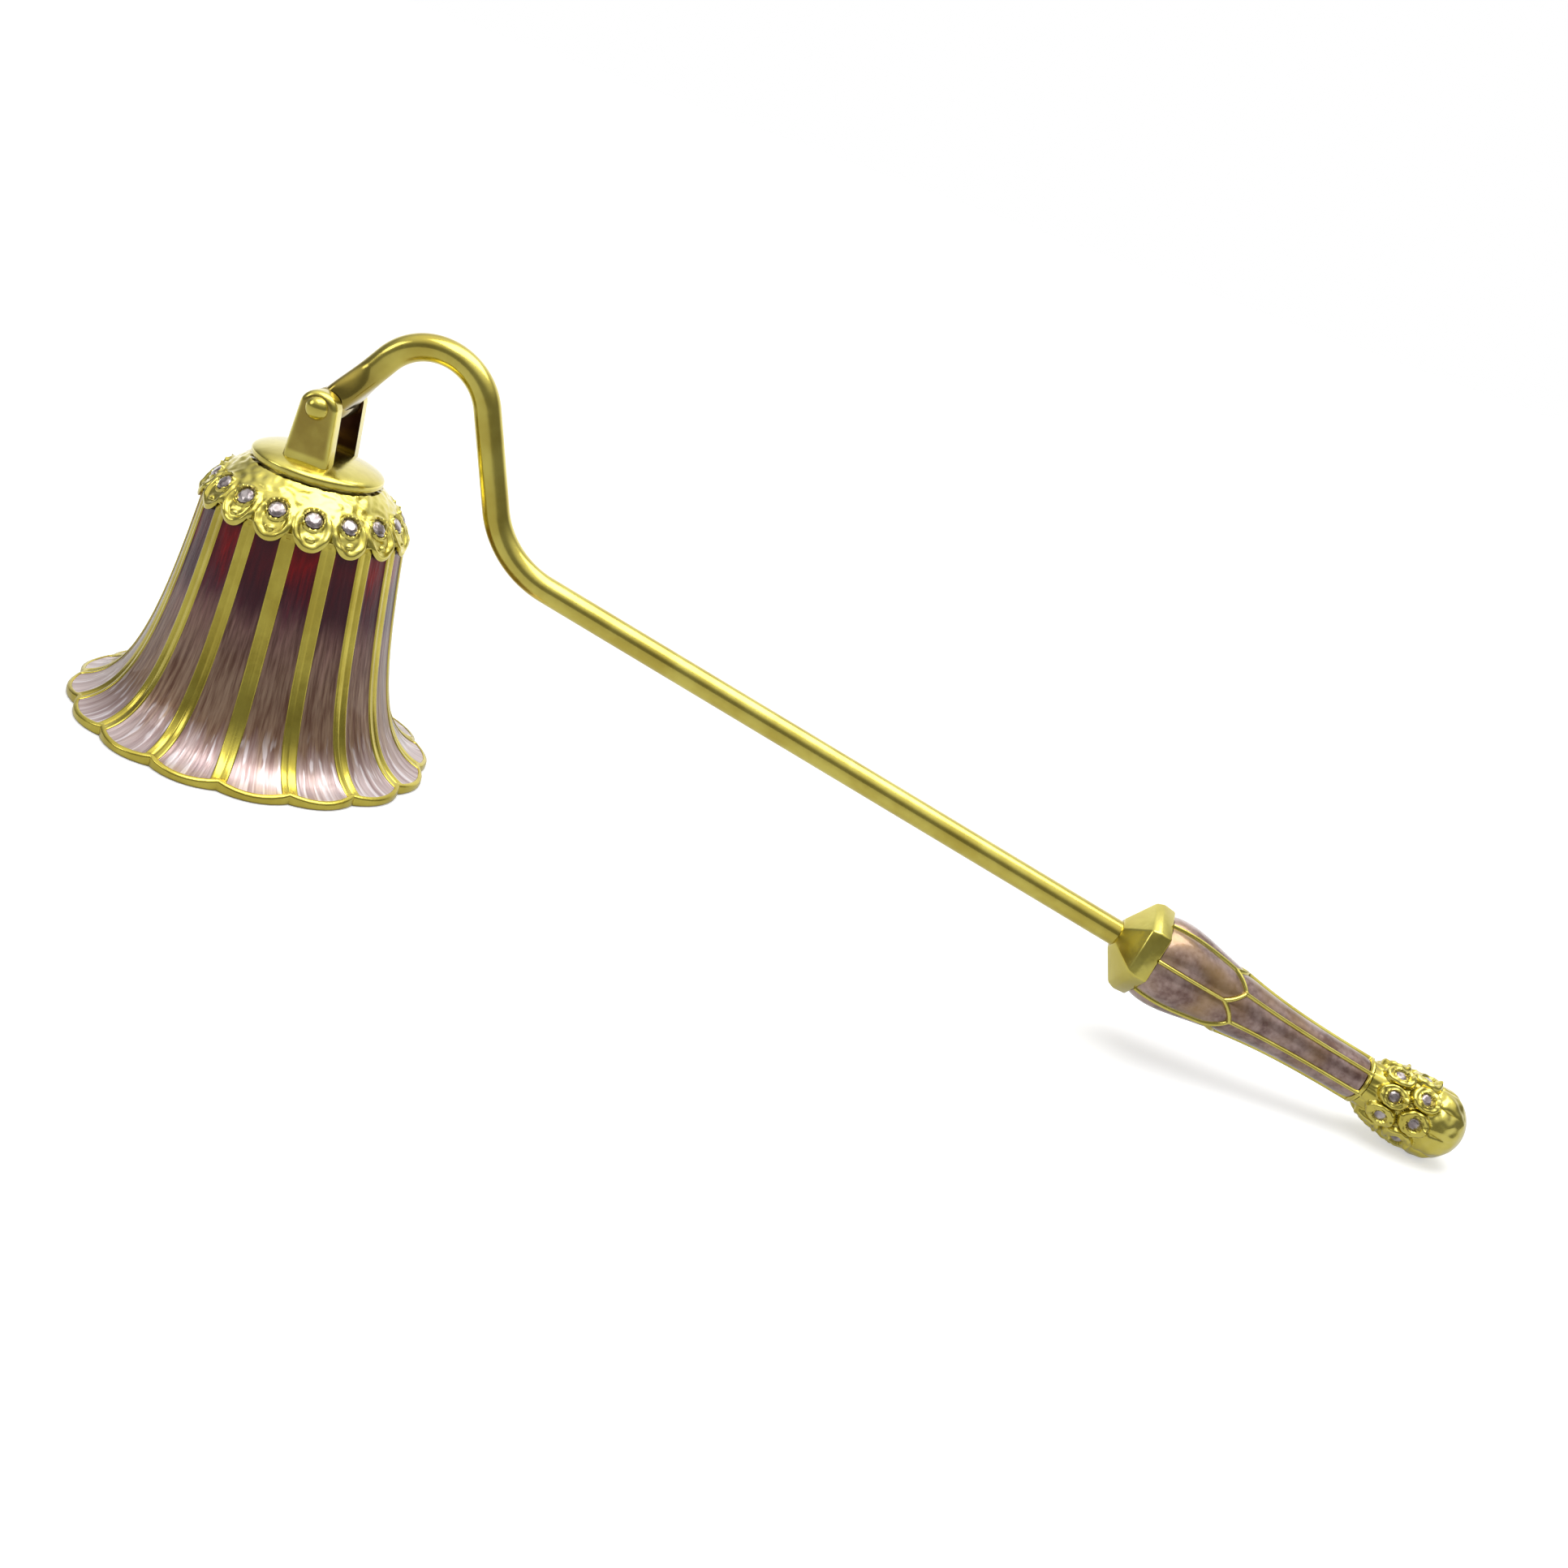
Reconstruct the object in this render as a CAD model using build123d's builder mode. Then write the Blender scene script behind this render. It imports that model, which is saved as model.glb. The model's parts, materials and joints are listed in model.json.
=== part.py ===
from build123d import *
from math import asin, cos, radians, sin
import os

os.makedirs("parts", exist_ok=True)

# Candle snuffer in millimetres. The bell stands on its rim: the underside of the rim is the plane Z = 0,
# the bell's axis is the Z axis, and the handle runs out along +X until its knob touches the same plane.

# Bell casting
rib_count = 16
rim_radius = 24.0          # in the middle of a scallop
notch_radius = 22.9        # at the end of a rib, between two scallops
mouth_radius = 21.9        # inner edge of the flat rim
rib_end_height = 1.5
shoulder_radius = 13.6
shoulder_height = 33.0
bell_wall = 1.6
lip_width = 0.6            # gold border outside the enamel
rib_width = 1.6            # at the shoulder
rib_end_width = 2.3        # at the rim
groove_width = 0.35        # fine line along the middle of a rib
groove_depth = 0.2
groove_foot = 4.5          # the line fades out on the flare
cell_depth = 0.8           # floor of the enamel below the ribs
enamel_sink = 0.25         # surface of the enamel below the ribs
shoulder_band = 0.6        # plain ring above the cells
flare_shares = ((0.215, 0.651), (0.452, 0.933))
throat_shares = ((0.172, 0.667), (0.424, 0.921))
flare_slope_share = 0.41   # fall of the rim's surface for each unit outwards

# Crown of the bell, and the leaf collar over it
seat_radius = 13.2         # the crown starts here, inside the rib tops
crown_top_radius = 8.3
crown_top_height = 37.6
crown_thickness = 1.4
crown_shares = ((0.12, 0.24), (0.59, 0.67))
vault_shares = ((0.05, 0.25), (0.50, 0.70))
collar_thickness = 1.0
skirt_wall = 0.45
skirt_radius = 14.25       # outside of the leaf tips
skirt_drop = 1.6           # leaf tips below the shoulder
skirt_height = 1.4
dome_start_radius = 14.1
dome_top_radius = 9.0
dome_shares = ((0.08, 0.27), (0.59, 0.70))
leaf_half_width = 2.55
leaf_half_height = 3.3
leaf_radius = 13.5         # middle of a leaf
leaf_height = 34.5
leaf_lift = 27.0           # degrees that a leaf looks upwards
bowl_share = 0.22          # middle of a leaf's hollow along the collar's dome
bowl_depth = 0.35
bowl_radius = 7.5          # of the hollow, across the leaf
valley_height = 33.2       # edge of the collar between two leaves
stone_share = 0.45         # place of a stone along the collar's dome
stone_radius = 1.15
stone_table_radius = 0.64
stone_depth = 0.35
stone_girdle = 0.1
stone_crown = 0.32
stone_sides = 8

# Hinge cap, pin and knuckle
cap_radius = 8.9
cap_foot_radius = 8.3
cap_groove = 0.35
cap_edge = 0.95
cap_crown = 2.4
cap_shares = ((0.022, 0.375), (0.382, 1.000))
stud_radius = 2.4
stud_head_radius = 3.6
stud_head = 0.8
pin_height = 48.2
ear_inside = 4.2           # from the middle plane to an ear
ear_thickness = 3.0
ear_half_width = 2.6
ear_top_radius = 2.3
ear_root = 0.6             # ears reach this far into the cap
ear_round = 0.5
pin_radius = 0.9
pin_head_radius = 1.5
pin_head_height = 0.9
knuckle_radius = 2.3
knuckle_clearance = 0.3

# Arm: a round rod bent to a gooseneck
rod_radius = 1.85
rise_angle = 55.5
rise_length = 9.6
hook_radius = 8.2
leg_angle = 69.0
leg_length = 20.4          # from the hook to the corner with the rod
elbow_radius = 13.0
rod_length = 98.6          # from that corner to the ferrule's tip
neck_start = 0.9           # the flare at the knuckle, from the pin outwards
neck_length = 6.2
neck_height = 4.0
neck_round = 1.3

# Handle, measured along its axis from the ferrule's tip
ferrule_length = 5.6
ferrule_tip_radius = 2.3
ferrule_cone = 2.7
ferrule_cone_radius = 6.5
ferrule_shoulder = 3.7
ferrule_radius = 6.9
ferrule_back_radius = 6.75
handle_start_radius = 5.7
handle_end = 40.6
handle_end_radius = 3.3
handle_shares = ((0.126, 1.35), (0.270, 1.09), (0.385, 0.54), (0.640, 0.605))
petal_count = 6
petal_turn = -14.0         # degrees from upright, positive towards -Y
petal_straight = 13.2
petal_tip = 18.6
petal_half_width = 3.1
wire_width = 0.6
wire_height = 0.5
petal_sink = 0.12
long_end = 39.9
rod_depth = 14.0

# Knob
knob_radius = 5.4
knob_centre = 51.6
knob_neck_radius = 3.9
knob_neck = 0.6
knob_stud_radius = 1.6
knob_stud_length = 5.0
knob_shares = ((0.47, 0.22), (1.00, 0.61))
knob_row_count = 8
knob_row_names = ("knob_crystals_neck_row", "knob_crystals_end_row")
knob_row_shares = (0.37, 0.74)
knob_dish_radius = 3.4     # of the round hollow about each stone
knob_dish_depth = 0.42
knob_notch_radius = 0.85   # between the leaf tips at the neck
knob_stone_radius = 0.95
knob_stone_table = 0.52

# Fits
fill_gap = 0.03            # between an enamel or a stone and its cell
seat_gap = 0.05            # between the collar and the crown
running_gap = 0.06         # pin in the knuckle, on the radius
overrun = 1.0              # how far a cutter passes the surface that it cuts


# Builders shared by the bell and the handle. A frame is a plane whose Z axis is the axis of a turned piece.
def radial(frame, angle):
    """Direction square to the frame's Z axis, at an angle from its X axis."""
    return frame.x_dir * cos(radians(angle)) + frame.y_dir * sin(radians(angle))


def axis_of(frame):
    return Axis(frame.origin, frame.z_dir)


def section(frame, angle=0):
    """Plane through the frame's Z axis, on which X is the radius and Y the height."""
    outward = radial(frame, angle)
    return Plane(origin=frame.origin, x_dir=outward, z_dir=outward.cross(frame.z_dir))


def outward_plane(frame, angle, radius=0, height=0, lift=0):
    """Plane that looks away from the frame's Z axis, with its Y along that axis."""
    outward = radial(frame, angle)
    normal = outward * cos(radians(lift)) + frame.z_dir * sin(radians(lift))
    origin = frame.origin + outward * radius + frame.z_dir * height
    return Plane(origin=origin, x_dir=frame.z_dir.cross(outward), z_dir=normal)


def seat_on(frame, curve, share, angle, depth=0):
    """Plane in line with a turned surface, part of the way along its curve, with its X along that curve."""
    place = section(frame, angle)
    line = place.from_local_coords(curve)
    tangent = line % share
    return Plane(origin=line @ share, x_dir=tangent, z_dir=tangent.cross(place.z_dir)).offset(-depth)


def around(pattern, frame, count):
    """Copies of a finished pattern, evenly spaced about the frame's Z axis."""
    return [pattern.part.rotate(axis_of(frame), turn * 360 / count) for turn in range(count)]


def write(piece, name):
    piece.label = name
    export_step(piece, f"parts/{name}.step")


def mixed(start, end, shares):
    """Control points between two points, each given as its shares of the way across and along."""
    return [(start[0] + (end[0] - start[0]) * across, start[1] + (end[1] - start[1]) * along)
            for across, along in shares]


def layer(frame, line, low_sink, high_sink, middle, spread):
    """Layer between two depths below a turned surface, spread to both sides of an angle."""
    with BuildSketch(section(frame, middle - spread / 2)) as profile:
        with BuildLine():
            low_start, low_end = line(low_sink)
            high_start, high_end = line(high_sink)
            Line(low_start, high_start)
            Line(low_end, high_end)
        make_face()
    revolve(profile.sketch, axis=axis_of(frame), revolution_arc=spread)


def stone(seat, radius, table_radius):
    """Flat backed round stone with a cut crown, its girdle just above the seat."""
    with BuildPart() as piece:
        with BuildSketch(seat.offset(-stone_depth)):
            RegularPolygon(radius, stone_sides)
        extrude(amount=stone_depth + stone_girdle)
        with BuildSketch(seat.offset(stone_girdle)):
            RegularPolygon(radius, stone_sides)
        with BuildSketch(seat.offset(stone_girdle + stone_crown)):
            RegularPolygon(table_radius, stone_sides)
        loft(ruled=True)
    return piece


def stone_holes(seats, radius):
    """Flat bottomed holes for stones."""
    with BuildSketch(*[seat.offset(-stone_depth) for seat in seats]) as holes:
        Circle(radius + fill_gap)
    extrude(holes.sketch, amount=stone_depth + overrun, mode=Mode.SUBTRACT)


# Bell: its outside line, the outline of its rim and the plan of a rib
bell_frame = Plane.XY
bell_step = 360 / rib_count
rim_reach = rim_radius + overrun
cell_top = shoulder_height - shoulder_band


def flare_line(sink):
    """Outside of the bell from past the rim to the shoulder, a given depth below the rib tops."""
    shoulder = (shoulder_radius, shoulder_height)
    rib_end = (notch_radius, rib_end_height)
    upper, lower = mixed(shoulder, rib_end, flare_shares)
    drop = sink * (1 - flare_slope_share ** 2) ** 0.5
    lower, rib_end = [(x - sink * flare_slope_share, y - drop) for x, y in (lower, rib_end)]
    upper, shoulder = [(x - sink, y) for x, y in (upper, shoulder)]
    rim = (rim_reach, rib_end[1] - (rim_reach - rib_end[0]) * flare_slope_share)
    Line(rim, rib_end)
    Bezier(rib_end, lower, upper, shoulder)
    return rim, shoulder


def keep_scallops(inset, top):
    """Keeps what lies inside the rim's outline and below a height."""
    with BuildSketch(Plane.XY.offset(-overrun)) as outline:
        with BuildLine():
            for turn in range(rib_count):
                reaches = [radius - inset for radius in (notch_radius, rim_radius, notch_radius)]
                turns = [(turn + share) * bell_step for share in (-0.5, 0, 0.5)]
                ThreePointArc(*[radial(bell_frame, angle) * reach for reach, angle in zip(reaches, turns)])
        make_face()
    extrude(outline.sketch, amount=top + overrun, mode=Mode.INTERSECT)


def rib_plan(width, end_width, angle):
    inner = shoulder_radius - bell_wall
    with Locations(Location((0, 0, 0), (0, 0, angle))):
        Polygon((inner, -width / 2), (rim_reach, -end_width / 2), (rim_reach, end_width / 2),
                (inner, width / 2), align=None)


def bell_panel(low_sink, high_sink, margin):
    """Space between two ribs, held back from the ribs and the rim by a margin."""
    with BuildPart() as piece:
        layer(bell_frame, flare_line, low_sink, high_sink, 0, bell_step)
        keep_scallops(lip_width + margin, cell_top - margin)
        with BuildSketch(Plane.XY.offset(-overrun)):
            for side in (-0.5, 0.5):
                rib_plan(rib_width + 2 * margin, rib_end_width + 2 * margin, side * bell_step)
        extrude(amount=shoulder_height + 2 * overrun, mode=Mode.SUBTRACT)
    return piece


# Bell casting, with a cell for each enamel and a fine groove along each rib
bell_cell = bell_panel(cell_depth, -overrun, 0)

with BuildPart() as groove:
    layer(bell_frame, flare_line, groove_depth, -overrun, bell_step / 2, bell_step / 2)
    with BuildSketch(Plane.XY.offset(groove_foot)):
        rib_plan(groove_width, groove_width, bell_step / 2)
    extrude(amount=cell_top - groove_foot, mode=Mode.INTERSECT)

vault_height = crown_top_height - crown_thickness
crown_start = (seat_radius, shoulder_height)
crown_end = (crown_top_radius, crown_top_height)
stud_hole = stud_radius + fill_gap
throat = (shoulder_radius - bell_wall, shoulder_height)
vault_end = (crown_top_radius - bell_wall, vault_height)
mouth = (mouth_radius, 0)

with BuildPart() as bell_shell:
    with BuildSketch(Plane.XZ):
        with BuildLine():
            rim_top, shoulder = flare_line(0)
            Line(shoulder, crown_start)
            Bezier(crown_start, *mixed(crown_start, crown_end, crown_shares), crown_end)
            Polyline(crown_end, (stud_hole, crown_top_height), (stud_hole, vault_height), vault_end)
            Bezier(throat, *mixed(throat, vault_end, vault_shares), vault_end)
            Bezier(throat, *mixed(throat, mouth, throat_shares), mouth)
            Polyline(mouth, (rim_reach, 0), rim_top)
        make_face()
    revolve(axis=Axis.Z)
    keep_scallops(0, crown_top_height + overrun)
    add(around(bell_cell, bell_frame, rib_count), mode=Mode.SUBTRACT)
    add(around(groove, bell_frame, rib_count), mode=Mode.SUBTRACT)
write(bell_shell.part, "bell_shell")

# Enamel fills of the bell
bell_enamel = bell_panel(cell_depth - fill_gap, enamel_sink, fill_gap)
for number, copy in enumerate(around(bell_enamel, bell_frame, rib_count), start=1):
    write(copy, f"bell_enamel_{number:02d}")

# Leaf collar: a dome whose lower edge ends in a leaf over each enamel
skirt_foot = shoulder_height - skirt_drop
collar_foot = (skirt_radius, skirt_foot)
collar_top = crown_top_height + collar_thickness
dome_start = (dome_start_radius, skirt_foot + skirt_height)
dome_end = (dome_top_radius, collar_top)
dome_control = mixed(dome_start, dome_end, dome_shares)
collar_seat = (seat_radius + seat_gap, shoulder_height)
collar_crown = (crown_top_radius + seat_gap, crown_top_height)
leaf_plane = outward_plane(bell_frame, 0, leaf_radius, leaf_height, leaf_lift)
leaf_reach = skirt_radius + overrun - seat_radius

with BuildPart() as leaf:
    with BuildSketch(leaf_plane.offset(-leaf_reach)):
        Ellipse(leaf_half_width, leaf_half_height)
    extrude(amount=2 * leaf_reach)

with BuildPart() as between_leaves:
    with BuildSketch(Plane.XY.offset(skirt_foot - overrun)):
        Circle(skirt_radius + overrun)
        Circle(seat_radius - overrun, mode=Mode.SUBTRACT)
    extrude(amount=valley_height - skirt_foot + overrun)
    add(around(leaf, bell_frame, rib_count), mode=Mode.SUBTRACT)

dome_curve = Bezier(dome_start, *dome_control, dome_end)
bowl_axes, stone_seats = [
    [seat_on(bell_frame, dome_curve, share, turn * bell_step, depth) for turn in range(rib_count)]
    for share, depth in ((bowl_share, bowl_depth - bowl_radius), (stone_share, bowl_depth))]

with BuildPart() as leaf_collar:
    with BuildSketch(Plane.XZ):
        with BuildLine():
            Line(collar_foot, dome_start)
            Bezier(dome_start, *dome_control, dome_end)
            Polyline(dome_end, (stud_hole, collar_top), (stud_hole, crown_top_height), collar_crown)
            Bezier(collar_seat, *mixed(collar_seat, collar_crown, crown_shares), collar_crown)
            Polyline(collar_seat, (shoulder_radius + 2 * seat_gap, shoulder_height),
                     (skirt_radius - skirt_wall, skirt_foot), collar_foot)
        make_face()
    revolve(axis=Axis.Z)
    add(between_leaves.part, mode=Mode.SUBTRACT)
    with Locations(*bowl_axes):
        Cylinder(bowl_radius, 2 * leaf_half_height, rotation=(0, 90, 0), mode=Mode.SUBTRACT)
    stone_holes(stone_seats, stone_radius)
write(leaf_collar.part, "leaf_collar")

# Stones of the collar
for number, seat in enumerate(stone_seats, start=1):
    write(stone(seat, stone_radius, stone_table_radius).part, f"collar_crystal_{number:02d}")

# Hinge cap: domed disc with two ears, held by its stud that is peened over inside the bell
cap_rim_height = collar_top + cap_groove
cap_start = (cap_radius, cap_rim_height + cap_edge)
cap_end = (0, cap_start[1] + cap_crown)
head_foot = vault_height - stud_head

with BuildPart() as ear:
    with BuildSketch(outward_plane(bell_frame, -90, ear_inside)):
        with Locations((0, pin_height)):
            Circle(ear_top_radius)
        with Locations((0, cap_start[1])):
            Rectangle(2 * ear_half_width, 2 * ear_root)
        make_hull()
    extrude(amount=ear_thickness)
    fillet(ear.faces().sort_by(Axis.Y)[0].edges().sort_by(Axis.Z)[1:], ear_round)

with BuildPart() as hinge_cap:
    with BuildSketch(Plane.XZ):
        with BuildLine():
            Polyline(cap_end, (0, head_foot), (stud_head_radius - stud_head, head_foot),
                     (stud_head_radius, vault_height), (stud_radius, vault_height),
                     (stud_radius, collar_top), (cap_foot_radius, collar_top),
                     (cap_foot_radius, cap_rim_height), (cap_radius, cap_rim_height), cap_start)
            Bezier(cap_start, *mixed(cap_start, cap_end, cap_shares), cap_end)
        make_face()
    revolve(axis=Axis.Z)
    add(around(ear, bell_frame, 2))
    with Locations(Location((0, 0, pin_height), (90, 0, 0))):
        Hole(pin_radius + fill_gap)
write(hinge_cap.part, "hinge_cap")

# Hinge pin with two domed heads
ear_outside = ear_inside + ear_thickness
pin_end = ear_outside + pin_head_height
pin_frame = outward_plane(bell_frame, -90, 0, pin_height)
with BuildPart() as hinge_pin:
    with BuildSketch(section(pin_frame)):
        with BuildLine():
            for side in (-1, 1):
                Bezier((pin_head_radius, side * ear_outside), (pin_head_radius, side * pin_end),
                       (0, side * pin_end))
            Polyline((pin_head_radius, -ear_outside), (pin_radius, -ear_outside),
                     (pin_radius, ear_outside), (pin_head_radius, ear_outside))
            Line((0, -pin_end), (0, pin_end))
        make_face()
    revolve(axis=axis_of(pin_frame))
write(hinge_pin.part, "hinge_pin")

# Arm: where its bends lie, and the slope that lets the knob rest on the plane of the rim
pin_point = Vector(0, 0, pin_height)
rise_direction = Vector(cos(radians(rise_angle)), 0, sin(radians(rise_angle)))
leg_direction = Vector(cos(radians(leg_angle)), 0, -sin(radians(leg_angle)))
rise_end = pin_point + rise_direction * rise_length
hook_centre = rise_end + rise_direction.cross(Vector(0, -1, 0)) * hook_radius
hook_end = hook_centre - leg_direction.cross(Vector(0, -1, 0)) * hook_radius
corner = hook_end + leg_direction * leg_length
slope = asin((corner.Z - knob_radius) / (rod_length + knob_centre))
rod_direction = Vector(cos(slope), 0, -sin(slope))
ferrule_tip = corner + rod_direction * rod_length
rod_end = ferrule_tip + rod_direction * rod_depth

knuckle_half = ear_inside - knuckle_clearance
neck_point = pin_point + rise_direction * neck_length
neck_plane = Plane(origin=neck_point, x_dir=(0, 1, 0), z_dir=rise_direction)

with BuildPart() as arm:
    with BuildLine():
        rise = Line(neck_point, rise_end)
        TangentArc(rise_end, hook_end, tangent=rise % 1)
        FilletPolyline(hook_end, corner, rod_end, radius=elbow_radius)
    with BuildSketch(neck_plane):
        Circle(rod_radius)
    sweep()
    with BuildSketch(neck_plane.offset(neck_start - neck_length)):
        RectangleRounded(2 * knuckle_half, neck_height, neck_round)
    with BuildSketch(neck_plane):
        Circle(rod_radius)
    loft()
    with Locations(Location(pin_point, (90, 0, 0))):
        Cylinder(knuckle_radius, 2 * knuckle_half)
        Hole(pin_radius + running_gap)
write(arm.part, "arm")

# Handle frame: Z along the handle, X square to it and upwards
handle_frame = Plane(origin=ferrule_tip, x_dir=rod_direction.cross(Vector(0, 1, 0)), z_dir=rod_direction)
petal_step = 360 / petal_count
petal_gap_turn = petal_turn + petal_step / 2
handle_reach = ferrule_radius + overrun

# Six sided ferrule
with BuildPart() as handle_ferrule:
    for height, radius in ((0, ferrule_tip_radius), (ferrule_cone, ferrule_cone_radius),
                           (ferrule_shoulder, ferrule_radius), (ferrule_length, ferrule_back_radius)):
        with BuildSketch(handle_frame.offset(height)):
            RegularPolygon(radius, petal_count, rotation=petal_gap_turn)
    loft(ruled=True)
    with BuildSketch(handle_frame.offset(-overrun)):
        Circle(rod_radius + fill_gap)
    extrude(amount=ferrule_length + 2 * overrun, mode=Mode.SUBTRACT)
write(handle_ferrule.part, "handle_ferrule")


def handle_line(sink):
    """Side of the handle from the ferrule to the knob, a given depth below the tops of the wires."""
    length = handle_end - ferrule_length
    middle = [(handle_start_radius * share - sink, ferrule_length + length * along)
              for along, share in handle_shares]
    start, end = (handle_start_radius - sink, ferrule_length), (handle_end_radius - sink, handle_end)
    Bezier(start, *middle, end)
    return start, end


def cut_petal(angle, grow, mode):
    """Pointed arch of one petal, cut square to the handle."""
    half = petal_half_width + grow
    with BuildSketch(outward_plane(handle_frame, angle)) as outline:
        with BuildLine():
            base = Polyline((-half, petal_straight), (-half, 0), (half, 0), (half, petal_straight))
            side = TangentArc(base @ 1, (0, petal_tip + 2 * grow), tangent=base % 1)
            mirror(side, about=Plane.YZ)
        make_face()
    extrude(outline.sketch, amount=handle_reach, mode=mode)


def leave_wires(middle, margin):
    """Takes away what lies under the two straight wires beside a panel."""
    with BuildSketch(handle_frame) as strips:
        for side in (-0.5, 0.5):
            with Locations(Location((0, 0, 0), (0, 0, middle + side * petal_step))):
                Rectangle(handle_reach, wire_width + 2 * margin, align=(Align.MIN, Align.CENTER))
    extrude(strips.sketch, amount=handle_end + overrun, mode=Mode.SUBTRACT)


def petal_panel(low_sink, high_sink, margin):
    with BuildPart() as piece:
        layer(handle_frame, handle_line, low_sink, high_sink, petal_turn, petal_step)
        cut_petal(petal_turn, -margin, Mode.INTERSECT)
        leave_wires(petal_turn, margin)
    return piece


def long_panel(low_sink, high_sink, margin):
    with BuildPart() as piece:
        layer(handle_frame, handle_line, low_sink, high_sink, petal_gap_turn, petal_step)
        for side in (-0.5, 0.5):
            cut_petal(petal_gap_turn + side * petal_step, wire_width + margin, Mode.SUBTRACT)
        leave_wires(petal_gap_turn, margin)
        with BuildSketch(handle_frame.offset(long_end - margin)):
            Circle(handle_reach)
        extrude(amount=handle_end - long_end + overrun, mode=Mode.SUBTRACT)
    return piece


# Handle body with a cell for each enamel, wires standing between them
petal_cell = petal_panel(wire_height, -overrun, 0)
long_cell = long_panel(wire_height, -overrun, 0)
socket = handle_end - knob_stud_length - fill_gap
with BuildPart() as handle_body:
    with BuildSketch(section(handle_frame)):
        with BuildLine():
            side_start, side_end = handle_line(0)
            Polyline(side_end, (knob_stud_radius + fill_gap, handle_end),
                     (knob_stud_radius + fill_gap, socket), (0, socket), (0, rod_depth),
                     (rod_radius + fill_gap, rod_depth), (rod_radius + fill_gap, ferrule_length),
                     side_start)
        make_face()
    revolve(axis=axis_of(handle_frame))
    add(around(petal_cell, handle_frame, petal_count), mode=Mode.SUBTRACT)
    add(around(long_cell, handle_frame, petal_count), mode=Mode.SUBTRACT)
write(handle_body.part, "handle_body")

# Enamels of the handle
petal_enamel = petal_panel(wire_height - fill_gap, petal_sink, fill_gap)
long_enamel = long_panel(wire_height - fill_gap, petal_sink, fill_gap)
for name, pattern in (("petal_enamel", petal_enamel), ("long_enamel", long_enamel)):
    for number, copy in enumerate(around(pattern, handle_frame, petal_count), start=1):
        write(copy, f"{name}_{number}")

# Knob: a bud with two rows of leaves, its round end touching the plane of the rim
knob_start = (knob_neck_radius, handle_end + knob_neck)
knob_widest = (knob_radius, knob_centre)
knob_tip = (0, knob_centre + knob_radius)
knob_control = mixed(knob_start, knob_widest, knob_shares)
knob_curve = Bezier(knob_start, *knob_control, knob_widest)
knob_step = 360 / knob_row_count
knob_rows = [[seat_on(handle_frame, knob_curve, share, (turn + row / 2) * knob_step, knob_dish_depth)
              for turn in range(knob_row_count)] for row, share in enumerate(knob_row_shares)]
knob_notches = [outward_plane(handle_frame, (turn + 0.5) * knob_step, handle_end_radius, handle_end)
                for turn in range(knob_row_count)]

with BuildPart() as end_knob:
    with BuildSketch(section(handle_frame)):
        with BuildLine():
            Bezier(knob_start, *knob_control, knob_widest)
            lean = knob_radius * 2 ** -0.5
            ThreePointArc(knob_widest, (lean, knob_centre + lean), knob_tip)
            Polyline(knob_tip, (0, handle_end - knob_stud_length),
                     (knob_stud_radius, handle_end - knob_stud_length), (knob_stud_radius, handle_end),
                     (handle_end_radius, handle_end), knob_start)
        make_face()
    revolve(axis=axis_of(handle_frame))
    with BuildSketch(*knob_notches) as notches:
        Circle(knob_notch_radius)
    extrude(notches.sketch, amount=overrun, mode=Mode.SUBTRACT)
    for seats in knob_rows:
        with Locations(*[seat.offset(knob_dish_radius) for seat in seats]):
            Sphere(knob_dish_radius, mode=Mode.SUBTRACT)
        stone_holes(seats, knob_stone_radius)
write(end_knob.part, "end_knob")

# Stones of the knob, one row to a file
for name, seats in zip(knob_row_names, knob_rows):
    with BuildPart() as row_of_stones:
        add([stone(seat, knob_stone_radius, knob_stone_table).part for seat in seats])
    write(row_of_stones.part, name)
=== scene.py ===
import json
from bisect import bisect
from math import asin, cos, hypot, pi, radians, sin, sqrt, tan, tau

import bmesh
import bpy
from mathutils import Matrix, Vector, noise


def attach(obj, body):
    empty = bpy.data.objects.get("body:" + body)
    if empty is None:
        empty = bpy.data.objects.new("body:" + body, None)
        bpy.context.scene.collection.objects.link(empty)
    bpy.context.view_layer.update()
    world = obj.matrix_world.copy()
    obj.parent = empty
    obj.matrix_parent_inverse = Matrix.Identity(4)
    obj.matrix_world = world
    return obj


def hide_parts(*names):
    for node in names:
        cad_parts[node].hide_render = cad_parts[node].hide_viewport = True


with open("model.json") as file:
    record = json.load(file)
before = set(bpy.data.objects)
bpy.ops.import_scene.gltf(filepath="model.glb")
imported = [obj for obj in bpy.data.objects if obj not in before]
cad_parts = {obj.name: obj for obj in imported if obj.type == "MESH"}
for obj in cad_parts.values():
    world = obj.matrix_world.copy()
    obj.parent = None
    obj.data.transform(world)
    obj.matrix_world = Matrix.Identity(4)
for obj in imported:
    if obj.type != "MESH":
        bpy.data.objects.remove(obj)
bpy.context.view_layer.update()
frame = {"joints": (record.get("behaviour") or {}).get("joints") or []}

# Bell casting: a trumpet shaped bell with sixteen standing ribs and a scalloped rim, cast in one piece,
# polished and plated with a greenish gold. The cells between its ribs are sunk to hold the enamel.
millimetre = 0.001
rib_count = 16
rib_step = tau / rib_count
rim_radius, notch_radius = 25.0, 23.9
rim_height = 1.05
mouth_radius = 23.0
bell_curve = ((13.6, 33.0), (15.6, 12.49), (17.5, 3.3), (23.9, 1.5))
throat_curve = ((22.9, 0.0), (16.4, 2.5), (13.6, 10.99), (12.0, 33.0))
vault_curve = ((12.0, 33.0), (11.74, 33.8), (9.35, 35.24), (6.7, 36.2))
crown_rings = ((2.43, 36.2), (2.43, 37.6), (5.4, 37.6), (8.3, 37.6), (10.4, 36.1), (12.3, 34.5), (13.2, 33.0))
scallop_share = 1.08           # how deep the scallops are, as a share of true arcs
scallop_run = 11.0             # how far up the wall they fade out
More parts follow.
